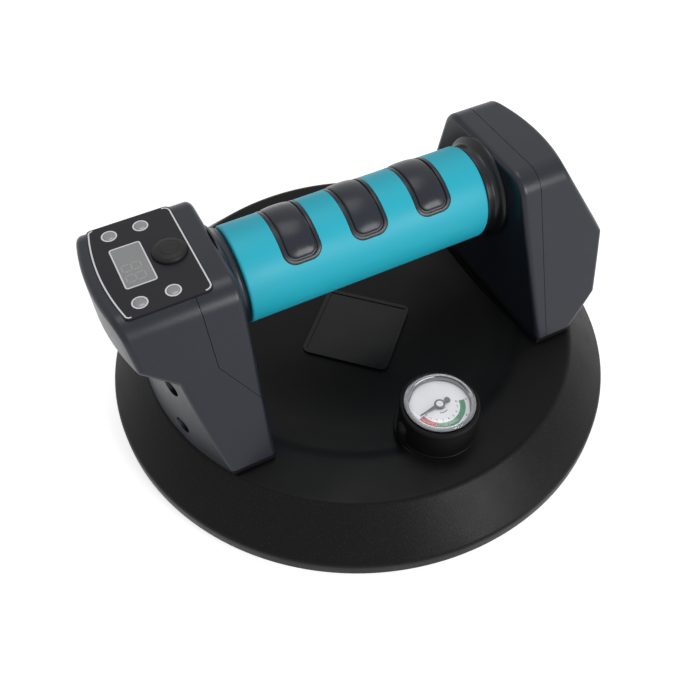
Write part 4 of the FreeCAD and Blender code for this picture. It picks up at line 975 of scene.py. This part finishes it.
    def build_display(self, film_top: float) -> None:
        """Build the display's window, its white frame and its faint digits.

        Args:
            film_top: Height of the film's top.
        """
        left, right, front, rear = self.display
        corners = [(left, front), (right, front), (right, rear), (left, rear)]
        outline = soften(corners, dict.fromkeys(range(4), self.display_corner), 4)
        window = plate(outline, self.top - self.film_depth, film_top + 0.02)
        add_piece("display_window", window, DISPLAY_GLASS, replaces=("lcd_window",))
        low, high = film_top - self.print_bed, film_top + self.print_rise + 0.02
        rim = ribbon(outline, self.display_line, low, high, closed=True)
        add_piece("display_frame", rim, PRINT_WHITE)
        shapes = [bar for digit in self.digits for bar in self.digit_bars(digit, film_top)]
        add_piece("display_digits", merged(shapes), DIGIT_LIGHT)

    def digit_bars(self, middle: Flat, film_top: float) -> list[bmesh.types.BMesh]:
        """Build the seven bars of one digit, whose top points away from the grip.

        Args:
            middle: Middle of the digit.
            film_top: Height of the film's top.

        Returns:
            The bars.
        """
        tall, wide = self.digit_half
        spots = [((step * tall, 0.0), "across") for step in (-1, 0, 1)]
        spots += [((half * tall / 2, side * wide), "along")
                  for half in (-1, 1) for side in (-1, 1)]
        bars = []
        thick = self.bar_half
        for (x, y), way in spots:
            reach = (wide if way == "across" else tall / 2) - self.bar_gap
            bar = [(-reach, 0), (-reach + thick, thick), (reach - thick, thick), (reach, 0),
                   (reach - thick, -thick), (-reach + thick, -thick)]
            if way == "across":
                bar = [(v, u) for u, v in bar]
            outline = [(middle[0] + x + u, middle[1] + y + v) for u, v in bar]
            bars.append(plate(outline, film_top, film_top + 0.035))
        return bars

    def build_button(self) -> None:
        """Build the rubber button with its domed crown and embossed ring."""
        radius = self.button_radius
        crown = self.crown
        profile = soften(
            [(0, 85.6), (6.2, 85.6), (6.2, 86.6), (5.0, 86.6), (5.0, 88.2), (radius, 88.6),
             (radius, crown - 1.35), (5.1, crown - 0.62), (3.9, crown - 0.3), (3.45, crown - 0.2),
             (3.2, crown - 0.36), (2.95, crown - 0.14), (1.5, crown - 0.03), (0, crown)],
            {1: 0.3, 2: 0.3, 6: 0.5, 7: 0.5, 8: 0.3, 9: 0.15, 10: 0.12, 11: 0.15, 12: 0.8},
            steps=4,
        )
        button = moved(lathe(profile), Matrix.Translation((*self.button, 0)))
        add_piece("button_crown", button, BUTTON_RUBBER, body="button", replaces=("power_button",))


# ---------------------------------------------------------------- grip


@dataclass(frozen=True)
class Grip:
    """Pads and collars of the padded grip, which runs along X.

    Attributes:
        height: Height of the grip's axis.
        pad_places: Positions of the pads' middles along the grip.
        pad_nodes: The solids that the pads stand for.
        pad_half: Half width of a pad along the grip.
        pad_angle: How far a pad reaches round from the top, in degrees.
        pad_corner: Corner radius of a pad.
        bed: Radius at which a pad lies in the sleeve.
        border: Radius of a pad's border.
        groove: Radius of the groove inside the border.
        face: Radius of a pad's face at its edge.
        crown: Extra height in the middle of a pad's face.
        pad_weld: Distance under which neighbouring points of a pad become one.
        housing_foot: Height of the housings' foot.
        housing_rise: Height of the housings above their foot.
        face_foot: Distance of the housings' inner faces from the middle, at their foot.
        face_draft: How much nearer those faces are at the top.
        face_bite: How far a collar reaches into its housing's face.
    """

    height: float = 71.4
    pad_places: tuple[float, ...] = (-26.2, -0.8, 24.6)
    pad_nodes: tuple[str, ...] = ("grip_pad_left", "grip_pad_middle", "grip_pad_right")
    pad_half: float = 7.0
    pad_angle: float = 58.0
    pad_corner: float = 4.5
    bed: float = 16.0
    border: float = 17.66
    groove: float = 17.1
    face: float = 17.75
    crown: float = 0.4
    pad_weld: float = 0.05
    housing_foot: float = 27.0
    housing_rise: float = 64.0
    face_foot: float = 55.8
    face_draft: float = 3.8
    face_bite: float = 0.4

    def pad_ring(self, inset: float, count: int = 14) -> list[Flat]:
        """Outline of a pad, drawn in by an inset, as distances along and round the grip.

        Args:
            inset: Distance from the pad's edge.
            count: Points on each corner and each side.

        Returns:
            The outline's points.
        """
        long_half = math.radians(self.pad_angle) * self.border - inset
        wide_half = self.pad_half - inset
        corner = max(0.05, min(self.pad_corner - inset * 0.75, wide_half - 0.02))
        signs = ((1, 1), (-1, 1), (-1, -1), (1, -1))
        centres = [(sx * (wide_half - corner), sy * (long_half - corner)) for sx, sy in signs]
        ring: list[Flat] = []
        for quarter, centre in enumerate(centres):
            ring += arc(centre, corner, 90 * quarter, 90 * quarter + 90, count)
            turn = math.radians(90 * quarter + 90)
            out = Vector((math.cos(turn), math.sin(turn))) * corner
            start = Vector(centre) + out
            end = Vector(centres[(quarter + 1) % 4]) + out
            sides = 24 if quarter in (1, 3) else 6
            ring += [tuple(start.lerp(end, step / sides)) for step in range(1, sides)]
        return ring

    def wrap(self, ring: Sequence[Flat], radius: float) -> list[Place]:
        """Lay a flat ring round the grip.

        Args:
            ring: Distances along and round the grip.
            radius: Radius to lay it on.

        Returns:
            The points about the grip's own axis.
        """
        points = []
        for along, around in ring:
            turn = around / self.border
            points.append((along, -radius * math.sin(turn), radius * math.cos(turn)))
        return points

    def build_pads(self) -> None:
        """Build the three pads with border, groove and crowned face."""
        middle = self.pad_half - 0.02
        face_inset = 2.25
        steps: list[Flat] = [
            (middle, self.bed), (3.5, self.bed), (0.0, self.bed), (0.0, self.border - 0.18),
            (0.06, self.border - 0.06), (0.2, self.border), (1.15, self.border),
            (1.3, self.border - 0.05),
            (1.38, self.groove), (1.8, self.groove), (1.88, self.face - 0.3),
            (2.0, self.face - 0.1), (face_inset, self.face + 0.04),
        ]
        steps += [
            (face_inset + (middle - face_inset) * share,
             self.face + 0.04 + self.crown * (1 - (1 - share) ** 2.2))
            for share in (0.1, 0.2, 0.3, 0.42, 0.55, 0.7, 0.85, 1.0)
        ]
        for node, place in zip(self.pad_nodes, self.pad_places):
            rings = [self.wrap(self.pad_ring(inset), radius) for inset, radius in steps]
            pad = moved(skin(rings, capped=False), Matrix.Translation((place, 0, self.height)))
            bmesh.ops.remove_doubles(pad, verts=pad.verts, dist=self.pad_weld)
            name = node.replace("grip_pad", "rubber_pad")
            add_piece(name, pad, PAD_SLATE, replaces=(node,))

    def collar(self, profile: Sequence[Flat], side: int) -> bmesh.types.BMesh:
        """Turn a collar about the grip's axis and fit it to the slanted housing face.

        Args:
            profile: Points of (radius, distance from the middle of the lifter).
            side: -1 for the left collar, 1 for the right one.

        Returns:
            The collar.
        """
        turn = Matrix.Rotation(side * math.pi / 2, 4, "Y")
        place = Matrix.Translation((0, 0, self.height))
        shape = moved(lathe(profile, closed=True), place @ turn)
        for vert in shape.verts:
            climb = self.face_draft * (vert.co.z - self.housing_foot) / self.housing_rise
            limit = self.face_foot - climb + self.face_bite
            if abs(vert.co.x) > limit:
                vert.co.x = side * limit
        return shape

    def build_collars(self) -> None:
        """Build both collars."""
        left = soften(
            [(15.2, 48.2), (16.8, 48.2), (17.1, 48.9), (17.5, 49.2), (17.7, 50.5), (19.55, 51.7),
             (19.55, 60.0), (15.2, 60.0)],
            {1: 0.4, 2: 0.2, 3: 0.2, 4: 1.0, 5: 0.5}, steps=5,
        )
        add_piece("neck_left", self.collar(left, -1), HOUSING_SLATE, replaces=("left_collar",),
                  second=(COLLAR_BLACK, lambda middle, facing: middle.x > -49.1))
        right = soften(
            [(15.2, 46.2), (16.6, 46.2), (16.9, 46.8), (16.9, 49.4), (17.5, 50.2), (19.1, 51.0),
             (19.55, 51.7), (19.55, 60.0), (15.2, 60.0)],
            {1: 0.4, 2: 0.3, 3: 0.8, 4: 0.8, 5: 0.5, 6: 0.5}, steps=5,
        )
        add_piece("neck_right", self.collar(right, 1), COLLAR_BLACK, replaces=("right_collar",))

    def build(self) -> None:
        """Build and dress the grip."""
        self.build_pads()
        self.build_collars()


# ---------------------------------------------------------------- gauge


@dataclass(frozen=True)
class Gauge:
    """Vacuum gauge in its rubber boot.

    Attributes:
        middle: Middle of the gauge.
        foot: Height of the boot's foot.
        rim: Height of the boot's rim.
        dial_top: Height of the dial.
        dial_radius: Radius of the dial.
        band: Inner and outer radius of the coloured band.
        red: First and last angle of the red part, in degrees.
        green: First and last angle of the green part, in degrees.
        divisions: Number of main divisions of the scale.
        ticks: Number of ticks in each division.
        scale_radii: Radii of the inner and the outer row of numerals.
        scale_sizes: Heights of the inner and the outer numerals.
        needle: Heights of the needle's underside and top.
        rest_angle: Direction of the needle at rest, in degrees.
        lens_top: Height of the lens.
    """

    middle: Flat = GAUGE_MIDDLE
    foot: float = SHELF_TOP
    rim: float = 37.6
    dial_top: float = 35.3
    dial_radius: float = 11.0
    band: Flat = (7.3, 9.3)
    red: Flat = (-169.0, -127.0)
    green: Flat = (-127.0, -11.0)
    divisions: int = 8
    ticks: int = 4
    scale_radii: Flat = (6.3, 10.1)
    scale_sizes: Flat = (1.25, 0.95)
    needle: Flat = (36.0, 36.4)
    rest_angle: float = 187.0
    lens_top: float = 39.5

    def seated(self, shape: bmesh.types.BMesh) -> bmesh.types.BMesh:
        """Carry a mesh from the axis to the gauge's middle."""
        return moved(shape, Matrix.Translation((*self.middle, 0)))

    def outward(self, angle: float, radius: float, height: float) -> Matrix:
        """Shift from the gauge's axis.

        Args:
            angle: Direction, in degrees.
            radius: Distance from the axis.
            height: Height.

        Returns:
            The shift.
        """
        turn = math.radians(angle)
        return Matrix.Translation((radius * math.cos(turn), radius * math.sin(turn), height))

    def scale_angle(self, share: float) -> float:
        """Direction of a place on the scale, in degrees, from 0 at its start to 1 at its end."""
        return self.red[0] + (self.green[1] - self.red[0]) * share

    def build_boot(self) -> None:
        """Build the rubber boot with its rolled rim, foot and lug."""
        profile = soften(
            [(15.0, self.foot), (15.0, 24.7), (14.75, 24.9), (14.35, 35.4), (14.5, 36.2),
             (14.2, 37.45), (13.0, self.rim), (12.4, 37.1), (12.3, 25.6), (4.7, 25.6),
             (4.7, self.foot)],
            {1: 0.15, 2: 0.3, 3: 0.6, 4: 0.5, 5: 0.7, 6: 0.5, 7: 0.4}, steps=5,
        )
        boot = lathe(profile, 128, closed=True)
        lug_profile = soften([(0, 24.1), (2.6, 24.1), (2.6, 31.0), (1.6, 33.2), (0, 33.6)],
                             {1: 0.4, 2: 1.4, 3: 0.9})
        lug = moved(lathe(lug_profile, 32), self.outward(178, 14.4, 0))
        add_piece("boot", self.seated(merged([boot, lug])), BOOT_RUBBER, replaces=("gauge_boot",))

    def build_lens(self) -> None:
        """Build the clear domed lens with its stepped rim."""
        profile = soften(
            [(0, 38.25), (10.6, 38.05), (11.3, 37.62), (12.85, 37.62), (12.9, 38.3), (12.35, 39.0),
             (11.5, 39.02), (10.9, 39.3), (6.0, self.lens_top - 0.04), (0, self.lens_top)],
            {1: 0.5, 2: 0.2, 3: 0.1, 4: 0.4, 5: 0.3, 6: 0.2, 7: 0.5, 8: 3.0}, steps=5,
        )
        add_piece("clear_cover", self.seated(lathe(profile, 128)), CLEAR_LENS,
                  replaces=("gauge_lens",))

    def band_part(self, span: Flat, band: Flat) -> bmesh.types.BMesh:
        """Build one part of a ring band on the dial.

        Args:
            span: First and last angle, in degrees.
            band: Inner and outer radius.

        Returns:
            The part.
        """
        steps = max(4, int(abs(span[1] - span[0]) / 3))
        middle_line = arc((0, 0), (band[0] + band[1]) / 2, span[0], span[1], steps)
        low, high = self.dial_top - 0.01, self.dial_top + 0.02
        return ribbon(middle_line, band[1] - band[0], low, high)

    def numeral(self, text: str, size: float, angle: float, radius: float) -> bmesh.types.BMesh:
        """Cut a flat numeral for the dial.

        Args:
            text: What it reads.
            size: Its height.
            angle: Direction from the dial's middle, in degrees.
            radius: Distance from the dial's middle.

        Returns:
            The numeral, upright to the reader at -Y.
        """
        curve = bpy.data.curves.new("numeral", type="FONT")
        curve.body = text
        curve.size = size
        curve.align_x = "CENTER"
        curve.align_y = "CENTER"
        curve.extrude = 0.01
        curve.resolution_u = 3
        holder = bpy.data.objects.new("numeral", curve)
        mesh = bpy.data.meshes.new_from_object(holder)
        shape = bmesh.new()
        shape.from_mesh(mesh)
        bpy.data.objects.remove(holder)
        bpy.data.curves.remove(curve)
        bpy.data.meshes.remove(mesh)
        return moved(shape, self.outward(angle, radius, self.dial_top + 0.01))

    def build_dial(self) -> None:
        """Build the dial, its print and a painted shadow under the hub."""
        top = self.dial_top
        disc = lathe(soften([(0, top - 0.6), (self.dial_radius, top - 0.6), (self.dial_radius, top),
                             (0, top)], {2: 0.15}))
        add_piece("dial", self.seated(disc), DIAL_WHITE, replaces=("gauge_dial",))
        for name, span, finish in (("dial_red_band", self.red, DIAL_RED),
                                   ("dial_green_band", self.green, DIAL_GREEN)):
            add_piece(name, self.seated(self.band_part(span, self.band)), finish)
        marks = []
        count = self.divisions * self.ticks
        for index in range(count + 1):
            long_mark = index % self.ticks == 0
            inset = 0.0 if long_mark else 0.55
            turn = math.radians(self.scale_angle(index / count))
            line = [(r * math.cos(turn), r * math.sin(turn))
                    for r in (self.band[0] + inset, self.band[1] - inset)]
            marks.append(ribbon(line, 0.16 if long_mark else 0.1, top - 0.01, top + 0.03))
        for step, factor, size, radius in zip((1, 2), (1, 10), self.scale_sizes, self.scale_radii):
            for index in range(0, self.divisions + 1, step):
                angle = self.scale_angle(index / self.divisions)
                marks.append(self.numeral(str(index * factor), size, angle, radius))
        # A thin dark ink arc just under the hub: the hub's shadow on the dial, painted in ink
        marks.append(self.band_part((-118, -62), (3.0, 3.3)))
        add_piece("dial_marks", self.seated(merged(marks)), DIAL_INK)

    def build_needle(self) -> None:
        """Build the tapered needle with its hub and counterweight."""
        low, high = self.needle
        outline = [(8.6, 0.0), (8.4, 0.12), (2.0, 0.55), (-2.2, 0.5), (-2.9, 1.05), (-3.6, 1.2),
                   (-4.2, 0.85), (-4.4, 0.0), (-4.2, -0.85), (-3.6, -1.2), (-2.9, -1.05),
                   (-2.2, -0.5), (2.0, -0.55), (8.4, -0.12)]
        outline = soften(outline, dict.fromkeys(range(4, 11), 0.3), 3)
        hub = lathe(soften([(0, low - 0.1), (2.0, low - 0.1), (2.0, high + 0.15), (1.5, high + 0.3),
                            (1.25, high + 0.12), (0, high + 0.12)], {2: 0.2, 3: 0.2}), 48)
        arbor = lathe(soften([(0, 29.6), (0.6, 29.6), (0.6, low), (0, low)], {1: 0.15}, 3), 24)
        turn = Matrix.Rotation(math.radians(self.rest_angle), 4, "Z")
        pointer = moved(merged([plate(outline, low, high), hub, arbor]), turn)
        add_piece("pointer", self.seated(pointer), NEEDLE_GREY, body="needle",
                  replaces=("gauge_needle",))
        cap = lathe(soften([(0, high + 0.1), (1.3, high + 0.1), (1.2, high + 0.26),
                            (0.5, high + 0.34), (0.4, high + 0.2), (0, high + 0.2)],
                           {2: 0.1, 3: 0.1}), 32)
        add_piece("pointer_cap", self.seated(cap), DIAL_WHITE, body="needle")

    def build(self) -> None:
        """Build and dress the gauge."""
        self.build_boot()
        self.build_lens()
        self.build_dial()
        self.build_needle()


# ---------------------------------------------------------------- studio


@dataclass(frozen=True)
class Lamp:
    """A soft square lamp that looks at the object.

    Attributes:
        name: Name of the lamp.
        place: Its position, in metres.
        size: Side of the square, in metres.
        power: Power in watts.
        target: Point that it looks at, in metres.
    """

    name: str
    place: Place
    size: float
    power: float
    target: Place = (0, 0, 0.04)

    def build(self) -> None:
        """Hang the lamp."""
        data = bpy.data.lights.new(self.name, "AREA")
        data.size = self.size
        data.energy = self.power
        lamp = bpy.data.objects.new(self.name, data)
        lamp.location = self.place
        aim = Vector(self.target) - Vector(self.place)
        lamp.rotation_euler = aim.to_track_quat("-Z", "Y").to_euler()
        bpy.context.scene.collection.objects.link(lamp)


@dataclass(frozen=True)
class Studio:
    """Camera, floor and soft light.

    Attributes:
        eye: Camera position, in metres.
        right: Camera's right-hand direction.
        up: Camera's up direction.
        lens: Focal length on a 36 mm sensor.
        ambient: Strength of the plain light from all around.
        floor_half: Half width of the floor, in metres.
        floor_glow: Glow of the floor for rays that look at it.
        floor_colour: Colour of the floor.
        lamps: The lamps.
    """

    eye: Place = (-0.098682, -0.194561, 0.271277)
    right: Place = (0.88965, -0.456401, -0.014829)
    up: Place = (0.362755, 0.686637, 0.630031)
    lens: float = 41.391
    ambient: float = 0.3
    floor_half: float = 3.0
    floor_glow: float = 0.7
    floor_colour: Colour = (0.72, 0.72, 0.73)
    lamps: tuple[Lamp, ...] = (
        Lamp("front_light", (0.4, -1.05, 0.55), 0.5, 9.0),
        Lamp("top_light", (0.1, 0.25, 1.2), 0.6, 3.5),
    )

    def add_camera(self) -> None:
        """Place the camera and make it the scene's own."""
        data = bpy.data.cameras.new("main_camera")
        data.lens = self.lens
        data.clip_start = 0.01
        camera = bpy.data.objects.new("main_camera", data)
        right = Vector(self.right).normalized()
        back = right.cross(Vector(self.up)).normalized()
        up = back.cross(right)
        turn = Matrix((right, up, back)).transposed()
        camera.matrix_world = Matrix.Translation(self.eye) @ turn.to_4x4()
        bpy.context.scene.collection.objects.link(camera)
        bpy.context.scene.camera = camera

    def seen(self, tree: bpy.types.NodeTree) -> bpy.types.NodeSocket:
        """Tell rays that look at the background from rays that only light the object.

        Args:
            tree: Node tree of the floor or the world.

        Returns:
            1 for camera, mirror and glass rays, 0 for the others.
        """
        path = tree.nodes.new("ShaderNodeLightPath")
        total = path.outputs["Is Camera Ray"]
        for name in ("Is Glossy Ray", "Is Transmission Ray"):
            either = tree.nodes.new("ShaderNodeMath")
            either.operation = "MAXIMUM"
            tree.links.new(total, either.inputs[0])
            tree.links.new(path.outputs[name], either.inputs[1])
            total = either.outputs["Value"]
        return total

    def add_floor(self) -> None:
        """Lay a pale floor that keeps the object's shadow."""
        mesh = bpy.data.meshes.new("floor")
        half = self.floor_half
        corners = [(-half, -half, 0), (half, -half, 0), (half, half, 0), (-half, half, 0)]
        mesh.from_pydata(corners, [], [(0, 1, 2, 3)])
        floor = bpy.data.objects.new("floor", mesh)
        bpy.context.scene.collection.objects.link(floor)
        material = bpy.data.materials.new("pale_floor")
        material.use_nodes = True
        tree = material.node_tree
        shader = tree.nodes["Principled BSDF"]
        shader.inputs["Base Color"].default_value = (*self.floor_colour, 1)
        shader.inputs["Roughness"].default_value = 0.9
        shader.inputs["Specular IOR Level"].default_value = 0.0
        glow = tree.nodes.new("ShaderNodeEmission")
        strength = tree.nodes.new("ShaderNodeMath")
        strength.operation = "MULTIPLY"
        strength.inputs[1].default_value = self.floor_glow
        tree.links.new(self.seen(tree), strength.inputs[0])
        tree.links.new(strength.outputs["Value"], glow.inputs["Strength"])
        both = tree.nodes.new("ShaderNodeAddShader")
        tree.links.new(shader.outputs["BSDF"], both.inputs[0])
        tree.links.new(glow.outputs["Emission"], both.inputs[1])
        tree.links.new(both.outputs["Shader"], tree.nodes["Material Output"].inputs["Surface"])
        mesh.materials.append(material)

    def add_world(self) -> None:
        """White surround to look at, plain light for everything else."""
        world = bpy.data.worlds.new("studio_world")
        world.use_nodes = True
        bpy.context.scene.world = world
        tree = world.node_tree
        background = tree.nodes["Background"]
        background.inputs["Color"].default_value = (1, 1, 1, 1)
        level = remapped(tree, self.seen(tree), target=(self.ambient, 1.0))
        tree.links.new(level, background.inputs["Strength"])

    def build(self) -> None:
        """Set up camera, floor and light."""
        self.add_camera()
        self.add_floor()
        self.add_world()
        for lamp in self.lamps:
            lamp.build()
        bpy.context.scene.view_settings.view_transform = "Standard"
        log.info("studio ready")


def main() -> None:
    """Build the looks piece by piece."""
    logging.basicConfig(level=logging.INFO, format="%(name)s: %(message)s")
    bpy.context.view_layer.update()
    Studio().build()
    dress_nodes()
    Base().build()
    ShellScrews(side=-1, seat=72.0, tip=58.6).build("left_screws", "left_shell_screws")
    ShellScrews(side=1, seat=74.0, tip=61.2).build("right_screws", "right_shell_screws")
    ControlHead().build()
    Grip().build()
    Gauge().build()


if __name__ == "__main__":
    main()
